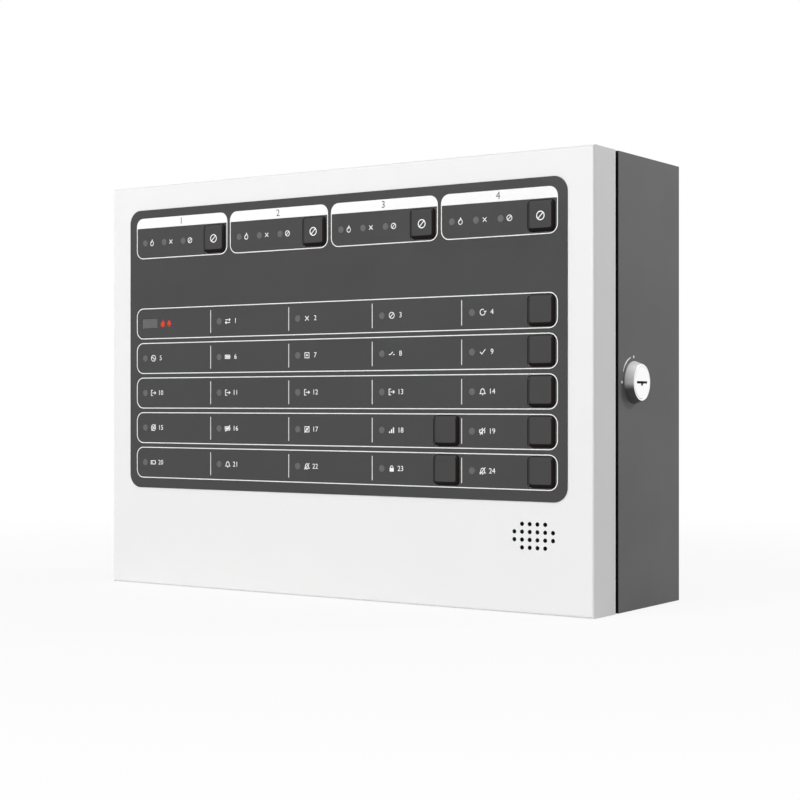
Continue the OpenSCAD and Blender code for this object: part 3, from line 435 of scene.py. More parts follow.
class Shape:
    """Closed forms on a plane, collected into one mesh. Heights lie along the plane's normal."""

    def __init__(self, origin, across=(1, 0, 0), up=(0, 0, 1)):
        self.mesh = bmesh.new()
        self.origin = Vector(origin)
        self.across = Vector(across)
        self.up = Vector(up)
        self.normal = self.across.cross(self.up)
        self.index = 0

    def use(self, index):
        """Faces made from here on take the material with this index."""
        self.index = index
        return self

    def face(self, verts):
        self.mesh.faces.new(verts).material_index = self.index

    def skin(self, rings, closed=False):
        """Joins rings of (u, v, height) points, and closes both ends or joins the last ring to the first."""
        loops = []
        for ring in rings:
            places = [self.origin + self.across * u + self.up * v + self.normal * h for u, v, h in ring]
            loops.append([self.mesh.verts.new(place * MM) for place in places])
        count = len(loops[0])
        nexts = loops[1:] + loops[:1] if closed else loops[1:]
        for low, high in zip(loops, nexts):
            for k in range(count):
                self.face((low[k], low[(k + 1) % count], high[(k + 1) % count], high[k]))
        if not closed:
            self.face(loops[0][::-1])
            self.face(loops[-1])

    def loft(self, rings, closed=False):
        """Joins level outlines, given as (points, height)."""
        self.skin([[(u, v, height) for u, v in points] for points, height in rings], closed)

    def plate(self, points, low, high):
        self.loft([(points, low), (points, high)])

    def lathe(self, u, v, profile, steps=24, closed=False):
        """A turned form about the normal, from (radius, height) pairs."""
        self.loft([(circle(u, v, r, steps), height) for r, height in profile], closed)

    def slab(self, u, v, w, h, low, high, edge=0.3, corner=None):
        """A block with rounded corners and an eased front edge."""
        r = edge if corner is None else corner
        sizes = ((0, low), (0, high - edge), (0.3 * edge, high - 0.3 * edge), (edge, high))
        self.loft([
            (rounded_loop(u, v, w - 2 * inset, h - 2 * inset, max(r - inset, 0.02), 3), height)
            for inset, height in sizes
        ])

    def band(self, inner, outer, low, high, closed):
        """A flat strip between two rows of points."""
        rings = [[(*a, low), (*b, low), (*b, high), (*a, high)] for a, b in zip(inner, outer)]
        self.skin(rings, closed)

    def stroke(self, points, width, low, high, closed=False):
        """A line of even width along points."""
        count = len(points)
        inner = []
        outer = []
        for k, point in enumerate(points):
            here = Vector(point)
            ways = []
            if closed or k > 0:
                ways.append((here - Vector(points[k - 1])).normalized())
            if closed or k < count - 1:
                ways.append((Vector(points[(k + 1) % count]) - here).normalized())
            sides = [Vector((-way.y, way.x)) for way in ways]
            side = sum(sides, Vector((0, 0))).normalized()
            reach = side * (width / 2 / max(0.45, side.dot(sides[0])))
            inner.append(tuple(here + reach))
            outer.append(tuple(here - reach))
        self.band(inner, outer, low, high, closed)

    def driven_head(self, u, v, r, low, high, slot, arms):
        """A screw head with a slot (2 arms) or a cross (4 arms) sunk in its top."""
        floor_height = low + 0.45 * (high - low)
        ease = 0.25
        self.lathe(u, v, ((r, low), (r, floor_height)))
        turn = 360 / arms
        outlines = []
        for ring_r in (r, r - ease):
            gap = math.degrees(math.asin(slot / 2 / ring_r))
            outline = arc(0, 0, ring_r, gap, turn - gap, 10)
            if arms == 4:
                outline.append((slot / 2, slot / 2))
            outlines.append(outline)
        wide, narrow = outlines
        for k in range(arms):
            rings = ((wide, floor_height), (wide, high - ease), (narrow, high))
            self.loft([(turned(outline, k * turn, u, v), height) for outline, height in rings])

    def text(self, words, u, v, height, low, high):
        """Plain figures, centred on a point."""
        cap_share = 0.69
        curve = bpy.data.curves.new("figures", "FONT")
        curve.body = words
        curve.size = height / cap_share * MM
        curve.align_x = "CENTER"
        curve.align_y = "CENTER"
        curve.extrude = (high - low) / 2 * MM
        curve.resolution_u = 4
        holder = bpy.data.objects.new("figures", curve)
        scene.collection.objects.link(holder)
        made = bpy.data.meshes.new_from_object(holder.evaluated_get(bpy.context.evaluated_depsgraph_get()))
        place = (self.origin + self.across * u + self.up * v + self.normal * (low + high) / 2) * MM
        turn = Matrix((self.across, self.up, self.normal)).transposed().to_4x4()
        made.transform(Matrix.Translation(place) @ turn)
        first = len(self.mesh.faces)
        self.mesh.from_mesh(made)
        self.mesh.faces.ensure_lookup_table()
        for face in self.mesh.faces[first:]:
            face.material_index = self.index
        bpy.data.objects.remove(holder)
        bpy.data.meshes.remove(made)
        bpy.data.curves.remove(curve)


def front_plane(node):
    """An empty shape on the plane of a node's front."""
    return Shape((0, box(node)[0].y, 0))


def side_plane(x, y, z):
    """An empty shape on a plane that faces right: u runs back and v up."""
    return Shape((x, y, z), (0, 1, 0), (0, 0, 1))


def piece(name, shape, looks, body, replaces=(), sharp=35):
    """Turns a shape into an object that rides on a body, with the finishes named in looks."""
    mesh = bpy.data.meshes.new(name)
    bmesh.ops.remove_doubles(shape.mesh, verts=shape.mesh.verts[:], dist=1e-8)
    bmesh.ops.recalc_face_normals(shape.mesh, faces=shape.mesh.faces[:])
    shape.mesh.to_mesh(mesh)
    shape.mesh.free()
    mesh.shade_smooth()
    mesh.set_sharp_from_angle(angle=math.radians(sharp))
    for look in looks.split():
        mesh.materials.append(finishes[look])
    made = bpy.data.objects.new(name, mesh)
    scene.collection.objects.link(made)
    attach(made, body)
    if replaces:
        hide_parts(*replaces)


def dress(build, shape, looks, body, replaces=()):
    """Makes a piece that is named after the function that builds it."""
    build(shape)
    piece(build.__name__, shape, looks, body, replaces)


# Layout of the fascia
ZONES = 4
ROWS = 5
COLUMNS = 5
CONTROL_KEYS = 7
CELL_MARGIN = 5.2
ZONE_GAP = 1.7
fascia_low, _ = box("fascia")
fascia_y = fascia_low.y
cells_left = fascia_low.x + CELL_MARGIN
cells_w = -2 * cells_left
zone_pitch = (cells_w + ZONE_GAP) / ZONES
zone_w = zone_pitch - ZONE_GAP
zone_mids = [cells_left + i * zone_pitch + zone_w / 2 for i in range(ZONES)]
zone_keys = [f"zone_key_{i + 1}" for i in range(ZONES)]
control_keys = [f"control_key_{i + 1}" for i in range(CONTROL_KEYS)]
zone_lamps = spots("zone_lamps")
status_lamps = spots("status_lamps")
alarm_mid = middle(box("alarm_lamp"))
row_z = [middle(box(key)).z for key in control_keys[:ROWS]]

# Signs: lines, loops, filled forms and dots in a square from -1 to 1
FLAME = [
    (0.08, 1.0), (0.22, 0.62), (0.5, 0.28), (0.68, -0.15), (0.6, -0.6), (0.28, -0.94), (-0.2, -0.97),
    (-0.58, -0.68), (-0.7, -0.2), (-0.52, 0.2), (-0.36, 0.42), (-0.26, 0.12), (-0.08, 0.5), (-0.02, 0.8),
]
BELL = [
    (-0.85, -0.55), (-0.62, -0.3), (-0.56, 0.2), (-0.36, 0.62), (0, 0.78), (0.36, 0.62), (0.56, 0.2),
    (0.62, -0.3), (0.85, -0.55),
]
SPEAKER = [(-0.95, -0.32), (-0.55, -0.32), (-0.05, -0.78), (-0.05, 0.78), (-0.55, 0.32), (-0.95, 0.32)]
SQUARE = [(-0.75, -0.75), (0.75, -0.75), (0.75, 0.75), (-0.75, 0.75)]
WAVE = [(-0.62 + 1.24 * k / 12, 0.32 * math.sin(2 * math.pi * k / 12)) for k in range(13)]
SLASH = ("line", [(-0.85, -0.95), (0.85, 0.95)])


def bar(left, right, low, high):
    return [(left, low), (right, low), (right, high), (left, high)]


SIGNS = {
    "flame": [("loop", FLAME)],
    "cross": [("line", [(-0.65, -0.65), (0.65, 0.65)]), ("line", [(-0.65, 0.65), (0.65, -0.65)])],
    "barred": [("loop", circle(0, 0, 0.85)), ("line", [(-0.6, -0.6), (0.6, 0.6)])],
    "link": [
        ("line", [(-0.95, 0.38), (0.9, 0.38)]), ("line", [(0.5, 0.78), (0.92, 0.38), (0.5, 0.0)]),
        ("line", [(0.95, -0.45), (-0.9, -0.45)]), ("line", [(-0.5, -0.05), (-0.92, -0.45), (-0.5, -0.85)]),
    ],
    "reset": [("line", arc(0, 0, 0.8, 60, 360)), ("line", [(0.45, 0.35), (0.8, 0.0), (1.15, 0.35)])],
    "mains": [("loop", circle(0, 0, 0.9)), ("line", WAVE)],
    "battery": [("loop", bar(-1, 0.75, -0.5, 0.5)), ("fill", bar(0.78, 1.0, -0.2, 0.2))],
    "point": [("loop", SQUARE), ("dot", (0, 0, 0.3))],
    "open": [
        ("line", [(-1, -0.25), (-0.45, -0.25)]), ("line", [(-0.45, -0.25), (0.4, 0.5)]),
        ("line", [(0.45, -0.25), (1, -0.25)]),
    ],
    "tick": [("line", [(-0.8, 0.0), (-0.25, -0.6), (0.85, 0.7)])],
    "output": [
        ("line", [(-0.25, 0.8), (-0.9, 0.8), (-0.9, -0.8), (-0.25, -0.8)]),
        ("line", [(-0.45, 0), (0.9, 0)]), ("line", [(0.45, 0.42), (0.92, 0), (0.45, -0.42)]),
    ],
    "bell": [("loop", BELL), ("dot", (0, -0.85, 0.17))],
    "board": [("loop", SQUARE), ("fill", bar(-0.3, 0.3, -0.3, 0.3))],
    "levels": [("fill", bar(-0.9 + 0.65 * k, -0.5 + 0.65 * k, -0.8, -0.3 + 0.55 * k)) for k in range(3)],
    "speaker": [("loop", SPEAKER), ("line", arc(-0.05, 0, 0.75, -42, 42, 8))],
    "padlock": [
        ("fill", bar(-0.7, 0.7, -0.85, 0.15)),
        ("line", [(-0.42, 0.15), *arc(0, 0.35, 0.42, 180, 0, 10), (0.42, 0.15)]),
    ],
}
SIGNS["full_battery"] = SIGNS["battery"] + [("fill", bar(-0.75, 0.5, -0.25, 0.25))]
SIGNS["low_battery"] = SIGNS["battery"] + [("fill", bar(-0.75, -0.45, -0.25, 0.25))]
for struck in ("mains", "full_battery", "board", "bell", "speaker"):
    SIGNS["no_" + struck] = SIGNS[struck] + [SLASH]
ZONE_SIGNS = ("flame", "cross", "barred")
# The alarm lamp takes the first place in the first row
ROW_SIGNS = (
    None, "link", "cross", "barred", "reset",
    "mains", "full_battery", "point", "open", "tick",
    "output", "output", "output", "output", "bell",
    "no_mains", "no_full_battery", "no_board", "levels", "no_speaker",
    "low_battery", "bell", "no_bell", "padlock", "no_bell",
)
INK = 0.05
SIGN_LINE = 0.42
STROKE_STEP = 0.004


def draw_sign(shape, name, u, v, size, width=SIGN_LINE):
    """Draws a sign, each of its strokes a hair above the one before."""
    for k, (kind, points) in enumerate(SIGNS[name]):
        high = INK + STROKE_STEP * k
        if kind == "dot":
            du, dv, r = points
            shape.plate(circle(u + du * size, v + dv * size, r * size, 14), 0, high)
            continue
        placed = [(u + a * size, v + b * size) for a, b in points]
        if kind == "fill":
            shape.plate(placed, 0, high)
        else:
            shape.stroke(placed, width, 0, high, kind == "loop")


# Print on the fascia
LINE = 0.5
FRAME_INSET = 0.18
ZONE_HIGH = 100.5
ZONE_LOW = 76.05
HEADER_LOW = 94.5
CELL_R = 5.0
ROW_H = 18.6
ROW_DROP = 0.05
DIVIDER_W = 0.5
DIVIDER_H = 13.5
DIVIDER_BEFORE_LAMP = 6.4
# Distance from the lamp, and size
ZONE_SIGN = (5.4, 1.75)
ROW_SIGN = (6.6, 1.95)
ROW_FIGURE = (12.4, 2.8)
ALARM_FLAME = (10.4, 2.3)
ALARM_BELL = (15.4, 2.1)
CLAPPER_DROP = 1.75
CLAPPER_R = 0.42
ZONE_FIGURE_H = 3.8
FIGURE_RISE = 0.03


def fascia_frames(face):
    """White cell frames of the zones and of the rows."""
    inner_low = ZONE_LOW + LINE
    inner_mid = (HEADER_LOW + inner_low) / 2
    inner_radii = (CELL_R - LINE, 0.3, 0.3, CELL_R - LINE)
    frame_w = zone_w - 2 * FRAME_INSET
    for mid in zone_mids:
        outer = rounded_loop(mid, (ZONE_HIGH + ZONE_LOW) / 2, frame_w, ZONE_HIGH - ZONE_LOW, CELL_R)
        inner = rounded_loop(mid, inner_mid, frame_w - 2 * LINE, HEADER_LOW - inner_low, inner_radii)
        face.band(inner, outer, 0, INK, True)
    row_w = cells_w - 2 * FRAME_INSET
    for z in row_z:
        v = z - ROW_DROP
        outer = rounded_loop(0, v, row_w, ROW_H, CELL_R)
        inner = rounded_loop(0, v, row_w - 2 * LINE, ROW_H - 2 * LINE, CELL_R - LINE)
        face.band(inner, outer, 0, INK, True)


def fascia_dividers(face):
    for k, (u, v) in enumerate(status_lamps, 1):
        if k % COLUMNS:
            face.plate(rounded_loop(u - DIVIDER_BEFORE_LAMP, v, DIVIDER_W, DIVIDER_H, 0.2, 2), 0, INK)


def fascia_signs(face):
    """A sign beside each lamp, and the number of each lamp in the rows."""
    away, size = ZONE_SIGN
    for k, (u, v) in enumerate(zone_lamps):
        draw_sign(face, ZONE_SIGNS[k % len(ZONE_SIGNS)], u + away, v, size)
    away, size = ROW_SIGN
    figure_away, figure_h = ROW_FIGURE
    for k, (u, v) in enumerate(status_lamps, 1):
        draw_sign(face, ROW_SIGNS[k], u + away, v, size)
        face.text(str(k), u + figure_away, v, figure_h, 0, INK)


def zone_figures(face):
    for i, mid in enumerate(zone_mids):
        face.text(str(i + 1), mid, (ZONE_HIGH + HEADER_LOW) / 2, ZONE_FIGURE_H, 0, INK + FIGURE_RISE)


def alarm_signs(face):
    """A flame and a bell, both filled, beside the alarm lamp."""
    for form, (away, size) in ((FLAME, ALARM_FLAME), (BELL, ALARM_BELL)):
        face.plate([(alarm_mid.x + away + size * a, alarm_mid.z + size * b) for a, b in form], 0, INK)
    face.plate(circle(alarm_mid.x + ALARM_BELL[0], alarm_mid.z - CLAPPER_DROP, CLAPPER_R, 14), 0, INK)


for build, ink in (
    (fascia_frames, "white_ink"), (fascia_dividers, "line_ink"), (fascia_signs, "white_ink"),
    (zone_figures, "grey_ink"), (alarm_signs, "red_ink"),
):
    dress(build, front_plane("fascia"), ink, "door")

# Keys: half width, corner radius and height above the fascia of each ring, up to the dished top
KEY_RINGS = (
    (9.2, 0.6, -3.0), (9.2, 0.6, -2.0), (8.0, 2.4, -2.0), (8.0, 2.4, 0.02), (7.9, 2.4, 0.14),
    (7.5, 2.3, 0.38), (6.95, 2.15, 0.68), (6.6, 2.05, 0.85), (6.3, 1.95, 0.95), (5.9, 1.85, 0.995),
    (5.4, 1.7, 1.0), (4.0, 1.3, 0.97), (2.0, 0.7, 0.945), (0.7, 0.3, 0.94),
)
STEM_RINGS = ((1.5, -5.3), (1.75, -5.1), (1.75, -3.0))
KEY_DISH = 0.93
KEY_STEPS = 7
KEY_SIGN = 2.6
KEY_SIGN_LINE = 0.55


def key_shape(mid):
    shape = Shape((mid.x, fascia_y, mid.z))
    count = 4 * (KEY_STEPS + 1)
    turn = 360 / count
    rings = [(arc(0, 0, r, turn / 2 - 90, 270 - turn / 2, count - 1), height) for r, height in STEM_RINGS]
    rings += [(rounded_loop(0, 0, 2 * half, 2 * half, r, KEY_STEPS), height) for half, r, height in KEY_RINGS]
    shape.loft(rings)
    return shape


for key in zone_keys + control_keys:
    piece(key + "_cap", key_shape(middle(box(key))), "key_plastic", key, [key], sharp=50)
for key in zone_keys:
    mid = middle(box(key))
    sign = Shape((mid.x, fascia_y - KEY_DISH, mid.z))
    draw_sign(sign, "barred", 0, 0, KEY_SIGN, KEY_SIGN_LINE)
    piece(key + "_sign", sign, "white_ink", key)

# Lamp windows, almost flush
LENS_R = 1.87
FLANGE_R = 2.7
lamp_back = fascia_y - box("zone_lamps")[1].y
flange_front = lamp_back + 0.8
LAMP_PROFILE = (
    (FLANGE_R, lamp_back), (FLANGE_R, flange_front), (LENS_R, flange_front), (LENS_R, 0.0),
    (LENS_R - 0.03, 0.03), (0.9, 0.04), (0.1, 0.04),
)
for name in ("zone_lamps", "status_lamps"):
    windows = front_plane("fascia")
    for u, v in spots(name):
        windows.lathe(u, v, LAMP_PROFILE)
    piece(name + "_windows", windows, "lamp_lens", "door", [name])

# Lock head and threaded barrel
LOCK_BORE = 6.55
LOCK_BARREL = 9.4
LOCK_RIM = 0.95
PLUG_WELL = 0.85
PLUG_PLAY = 0.05
THREAD_DEPTH = 0.35
THREADS = 14


def lock_head():
    """A bored form turned about the lock's axis. Heights are from the side of the box."""
    low, high = box("lock_housing")
    plug_low, plug_high = box("lock_plug")
    mid = middle((low, high))
    side_x = box("back_box")[1].x
    top = high.x - side_x
    end = low.x - side_x
    well = top - PLUG_WELL
    head_r = (high.z - low.z) / 2
    well_r = (plug_high.z - plug_low.z) / 2 + PLUG_PLAY
    face_r = well_r + LOCK_RIM
    root_r = LOCK_BARREL - THREAD_DEPTH
    pitch = (-end - 2) / THREADS
    profile = [(LOCK_BORE, well), (LOCK_BORE, end + 0.3), (LOCK_BORE + 0.3, end), (root_r, end)]
    for k in range(THREADS):
        start = end + 0.2 + k * pitch
        profile += [(root_r, start), (LOCK_BARREL, start + 0.4 * pitch), (LOCK_BARREL, start + 0.6 * pitch)]
    profile += [(root_r, -1.8), (LOCK_BARREL, -1.6), (LOCK_BARREL, 0)]
    profile += [(head_r - 0.1, 0), (head_r, 0.06), (head_r - 0.02, 0.16)]
    profile += [(face_r + 0.1, top - 0.25), (face_r + 0.02, top - 0.1), (face_r - 0.1, top)]
    profile += [(well_r + 0.15, top), (well_r, top - 0.15), (well_r, well)]
    head = side_plane(side_x, mid.y, mid.z)
    head.lathe(0, 0, profile, 72, True)
    return head


piece("lock_head", lock_head(), "lock_chrome", "cabinet", ["lock_housing"], sharp=50)

# Quarter-turn mark beside the lock
MARK_R = 13.5
MARK_AHEAD = 0.5
MARK_MIDDLE = 130
MARK_HALF = 26
MARK_STEP = 4
MARK_THIN = 0.25
MARK_SWELL = 0.35
MARK_DOT = 0.8


def lock_mark():
    """An arc that swells in its middle, between two dots."""
    mid = middle(box("lock_housing"))
    side = side_plane(box("back_box")[1].x, mid.y - MARK_AHEAD, mid.z)
    inner = []
    outer = []
    for turn in range(MARK_MIDDLE - MARK_HALF, MARK_MIDDLE + MARK_HALF + 1, MARK_STEP):
        half = MARK_THIN + MARK_SWELL * (1 - abs(turn - MARK_MIDDLE) / MARK_HALF)
        inner += turned([(MARK_R - half, 0)], turn, 0, 0)
        outer += turned([(MARK_R + half, 0)], turn, 0, 0)
    side.band(inner, outer, 0, INK, False)
    for u, v in ((0, MARK_R), (-MARK_R, 0)):
        side.plate(circle(u, v, MARK_DOT), 0, INK)
    return side


piece("lock_mark", lock_mark(), "white_ink", "cabinet")

# A black foam strip on the lips of the box, outside the seal: a dark sheet put in the gap round the door as
# painted shade
SHADE_STRIP_INSET = 0.25
SHADE_STRIP_GAP = 0.1
SHADE_STRIP_R = 0.4
SHADE_STRIP_T = 0.15


# Painted shade: a thin black band that darkens the gap between the door and the box
def mouth_tape(face):
    _, mid_z, w, h = footprint(box("back_box"))
    _, _, seal_w, seal_h = footprint(box("door_seal"))
    outer = rounded_loop(0, mid_z, w - 2 * SHADE_STRIP_INSET, h - 2 * SHADE_STRIP_INSET, SHADE_STRIP_R)
    inner = rounded_loop(0, mid_z, seal_w + 2 * SHADE_STRIP_GAP, seal_h + 2 * SHADE_STRIP_GAP, SHADE_STRIP_R)
    face.band(inner, outer, 0, SHADE_STRIP_T, True)


dress(mouth_tape, Shape((0, box("door_seal")[1].y, 0)), "black_foam", "cabinet")

# Boards: parts, legs, pins, joints and print
LEG_PITCH = 1.27
LEG_W = 0.5
LEG_T = 0.16
LEG_PATH = ((-0.1, 0.9), (0.35, 0.9), (0.6, 0.1), (1.2, 0.1))
JOINT_PROFILE = ((0.95, 0), (0.8, 0.18), (0.5, 0.5), (0.34, 0.95), (0.26, 1.05))
PIN_PITCH = 2.54
PIN_W = 0.7
SILK = 0.03
SILK_LINE = 0.2
# Small parts: width, height and rise
RESISTOR = (1.0, 2.0, 0.5)
LEVEL_RESISTOR = (2.0, 1.0, 0.5)
LAMP_RESISTOR = (2.0, 1.2, 0.5)
GUARD = (1.3, 2.4, 0.9)
SMOOTHER = (1.2, 2.4, 0.7)
CHIP_SMOOTHER = (1.2, 2.2, 0.8)
CERAMIC = (1.6, 3.2, 1.2)
LEVEL_CERAMIC = (3.2, 1.8, 1.4)
GUARD_DROP = 8.2
RELAY_DROP = 4.5
PROCESSOR_GAP = 4


def is_square(w, h):
    return abs(w - h) < 1


def add_legs(shape, u, v, w, h):
    """Bent legs along the long sides of a chip, or along all four sides of a square one."""
    ways = [(0, 1), (0, -1)]
    if is_square(w, h):
        ways += [(1, 0), (-1, 0)]
    count = int((w - 2) / LEG_PITCH)
    for du, dv in ways:
        for k in range(count + 1):
            slide = (k - count / 2) * LEG_PITCH
            rings = []
            for out, height in LEG_PATH:
                a = u + du * (w / 2 + out) + dv * slide
                b = v + dv * (h / 2 + out) + du * slide
                sides = [(a + s * dv * LEG_W / 2, b + s * du * LEG_W / 2) for s in (-1, 1)]
                low, high = height - LEG_T / 2, height + LEG_T / 2
                rings.append([(*sides[0], low), (*sides[1], low), (*sides[1], high), (*sides[0], high)])
            shape.skin(rings)


def add_small_part(shape, u, v, w, h, rise):
    """A chip resistor or capacitor with metal ends: body with material 0, ends with material 1."""
    end = 0.22 * max(w, h)
    du, dv = (1, 0) if w > h else (0, 1)
    shape.use(0).slab(u, v, w - 2 * du * end, h - 2 * dv * end, 0, rise, 0.06)
    for s in (-1, 1):
        a = u + s * du * (w - end) / 2
        b = v + s * dv * (h - end) / 2
        shape.use(1).slab(a, b, w if dv else end, h if du else end, 0, rise + 0.03, 0.06)


def add_joint(shape, u, v):
    """A solder joint with the end of a lead in it."""
    shape.lathe(u, v, JOINT_PROFILE, 12)


def add_pins(shape, u, v):
    """Plated pins over the plain ones in a header."""
    for k in range(-5, 6):
        for s in (-1, 1):
            shape.slab(u + PIN_PITCH * k, v + PIN_PITCH / 2 * s, PIN_W, PIN_W, 2, 7.4, 0.2, 0.05)


def display_plane():
    """The rear of the display board: u runs to the left of the panel."""
    return Shape((0, box("display_board")[1].y, 0), (-1, 0, 0), (0, 0, 1))


TERMINAL_WAYS = 4
terminal_blocks = solids("field_terminals")
relay_boxes = solids("relays")
capacitor_boxes = solids("capacitors")
main_chips = footprints("main_chips")
processor = next(chip for chip in main_chips if is_square(*chip[2:]))
drivers = [chip for chip in main_chips if chip is not processor]
main_front = box("main_board")[0].y
way_spots = []
for low, high in terminal_blocks:
    way = (high.x - low.x) / TERMINAL_WAYS
    way_spots += [low.x + (k + 0.5) * way for k in range(TERMINAL_WAYS)]
terminal_low = terminal_blocks[0][0].z


def main_legs(shape):
    for chip in main_chips:
        add_legs(shape, *chip)


def main_parts(shape):
    """Guards under the terminals, resistors by the relays and the processor, and smoothers by the cans."""
    for u in way_spots:
        add_small_part(shape, u, terminal_low - GUARD_DROP, *GUARD)
    for low, _ in relay_boxes:
        for du in (3, 6, 9):
            add_small_part(shape, low.x + du, low.z - RELAY_DROP, *RESISTOR)
    u, v, w, h = processor
    for k in range(-2, 3):
        for s in (-1, 1):
            add_small_part(shape, u + 4 * k, v + s * (h / 2 + PROCESSOR_GAP), *RESISTOR)
        add_small_part(shape, u - w / 2 - PROCESSOR_GAP, v + 3.2 * k, *LEVEL_RESISTOR)
    for bounds in capacitor_boxes:
        u, v, _, h = footprint(bounds)
        for s in (-1, 1):
            add_small_part(shape, u + 1.6 * s, v + h / 2 + 5, *SMOOTHER)


def main_tan_parts(shape):
    """Ceramic capacitors beside the drivers and the relays."""
    for u, v, w, _ in drivers:
        for s in (-1, 1):
            add_small_part(shape, u + s * (w / 2 + 2.5), v, *CERAMIC)
    for low, _ in relay_boxes:
        add_small_part(shape, low.x + 14, low.z - RELAY_DROP, *LEVEL_CERAMIC)


def crystal_can(shape):
    """A can on its flange, at the lower left of the processor."""
    u, v, w, h = processor
    u -= w / 2 + 10
    v -= h / 2 + PROCESSOR_GAP
    shape.slab(u, v, 11.4, 4.8, 0, 0.5, 0.1, 2.3)
    shape.slab(u, v, 10.4, 3.9, 0.5, 3.6, 0.5, 1.9)


def main_silk(shape):
    """Printed outlines round the parts and plain numbers under the terminals."""
    for k, u in enumerate(way_spots):
        shape.text(str(k + 1), u, terminal_low - 3, 2.2, 0, SILK)
    outlined = [(footprint(bounds), 0.7) for bounds in terminal_blocks + relay_boxes + [box("main_header")]]
    for (u, v, w, h), reach in outlined + [(processor, 1.6)]:
        shape.stroke(rounded_loop(u, v, w + 2 * reach, h + 2 * reach, 0.3, 2), SILK_LINE, 0, SILK, True)
    for bounds in capacitor_boxes:
        u, v, w, _ = footprint(bounds)
        shape.stroke(circle(u, v, w / 2 + 0.6, 32), SILK_LINE, 0, SILK, True)
        for k, (bar_w, bar_h) in enumerate(((1.6, 0.3), (0.3, 1.6))):
            shape.plate(rounded_loop(u + 4.6, v - 5.2, bar_w, bar_h, 0.1, 2), 0, SILK + STROKE_STEP * k)


def relay_covers(shape):
    """Sealed relays: a black foot, a drafted blue cover with an eased rim, and a sealed vent."""
    for bounds in relay_boxes:
        u, v, w, h = footprint(bounds)
        top = main_front - bounds[0].y
        shape.use(1).slab(u, v, w - 0.4, h - 0.4, 0, 1.0, 0.2, 0.6)
        rings = (
            (0, 0.9, 1.0), (0, 0.9, 2.4), (0.35, 0.9, 2.6), (0.7, 0.9, top - 1.0), (1.0, 0.85, top - 0.4),
            (1.6, 0.7, top - 0.1), (2.4, 0.5, top),
        )
        shape.use(0).loft([
            (rounded_loop(u, v, w - narrower, h - narrower, r, 4), height) for narrower, r, height in rings
        ])
        vent = ((1.0, top - 0.5), (1.0, top + 0.1), (0.8, top + 0.2))
        shape.lathe(u + w / 2 - 3.2, v + h / 2 - 3.2, vent, 16)


def relay_print(shape):
    """The sign of a coil and its contact on each relay."""
    for bounds in relay_boxes:
        u, v, _, _ = footprint(bounds)
        shape.stroke(rounded_loop(u - 3, v - 1, 3.4, 5.4, 0.2, 2), 0.35, -0.02, SILK, True)
        lines = (
            [(u - 4.7, v - 3.7), (u - 1.3, v + 1.7)], [(u + 2, v - 4), (u + 2, v - 1.6)],
            [(u + 2, v - 1.6), (u + 4, v + 1.4)], [(u + 2, v + 1.6), (u + 2, v + 3)],
        )
        for k, points in enumerate(lines):
            shape.stroke(points, 0.35, -0.02, SILK + 0.003 * k)


def capacitor_cans(shape):
    """Sleeved cans with a crimp, a pale stripe and a scored metal top."""
    for bounds in capacitor_boxes:
        u, v, w, _ = footprint(bounds)
        r = w / 2
        top = main_front - bounds[0].y
        sleeve = (
            (r - 0.5, 0), (r - 0.1, 0.2), (r, 0.6), (r, 1.6), (r - 0.4, 2.0), (r - 0.4, 2.4), (r, 2.8),
            (r, top - 0.6), (r - 0.2, top - 0.15), (r - 0.6, top), (r - 1.1, top), (r - 1.15, top - 0.25),
        )
        shape.use(0).lathe(u, v, sleeve, 32)
        shape.use(1).lathe(u, v, ((r - 1.2, top - 0.5), (r - 1.2, top - 0.16)), 32)
        quarter = [(0.12, 0.12), *arc(0, 0, r - 1.35, 4, 86, 8)]
        for turn in (45, 135, 225, 315):
            shape.plate(turned(quarter, turn, u, v), top - 0.17, top - 0.06)
        stripe = [arc(u, v, ring_r, -24, 24, 8) for ring_r in (r - 0.1, r + 0.02)]
        shape.use(2).band(stripe[0], stripe[1], 3.2, top - 1, False)


def fuse_pieces():
    """Glass tubes with end caps and a wire inside."""
    fuses = solids("fuses")
    low, high = fuses[0]
    length = high.x - low.x
    r = (high.z - low.z) / 2
    cap = 0.26 * length
    start, end = cap - 0.6, length - cap + 0.6
    wall = [(r - 0.15, start), (r - 0.15, end), (r - 0.6, end), (r - 0.6, start)]
    cap_profile = ((r - 0.5, 0), (r - 0.15, 0.1), (r, 0.4), (r, cap - 0.2), (r - 0.1, cap))
    mids = [middle(bounds) for bounds in fuses]
    tubes = side_plane(low.x, mids[0].y, 0)
    caps = side_plane(low.x, mids[0].y, 0)
    for mid in mids:
        tubes.lathe(0, mid.z, wall, 32, True)
        for foot, way in ((0, 1), (length, -1)):
            caps.lathe(0, mid.z, [(ring_r, foot + way * height) for ring_r, height in cap_profile], 32)
        caps.lathe(0, mid.z, ((0.12, cap - 0.2), (0.12, length - cap + 0.2)), 8)
    piece("fuse_tubes", tubes, "fuse_glass", "cabinet", ["fuses"])
    piece("fuse_caps", caps, "solder", "cabinet")


def display_legs(shape):
    for u, v, w, h in footprints("display_chips"):
        add_legs(shape, -u, v, w, h)


def display_joints(shape):
    """Soldered leads of the lamps and of the key switches."""
    for u, v in spots("display_leds"):
        for s in (-1, 1):
            add_joint(shape, -u + 1.27 * s, v)
    for u, v in spots("key_switches"):
        for su in (-1, 1):
            for sv in (-1, 1):
                add_joint(shape, -u + 6.2 * su, v + 2.5 * sv)


def display_parts(shape):
    """A resistor below each lamp, and a part at each end of the chips."""
    for u, v in spots("display_leds"):
        add_small_part(shape, -u, v - 4.2, *LAMP_RESISTOR)
    for u, v, w, _ in footprints("display_chips"):
        for s in (-1, 1):
            add_small_part(shape, -u + s * (w / 2 + 4), v, *CHIP_SMOOTHER)


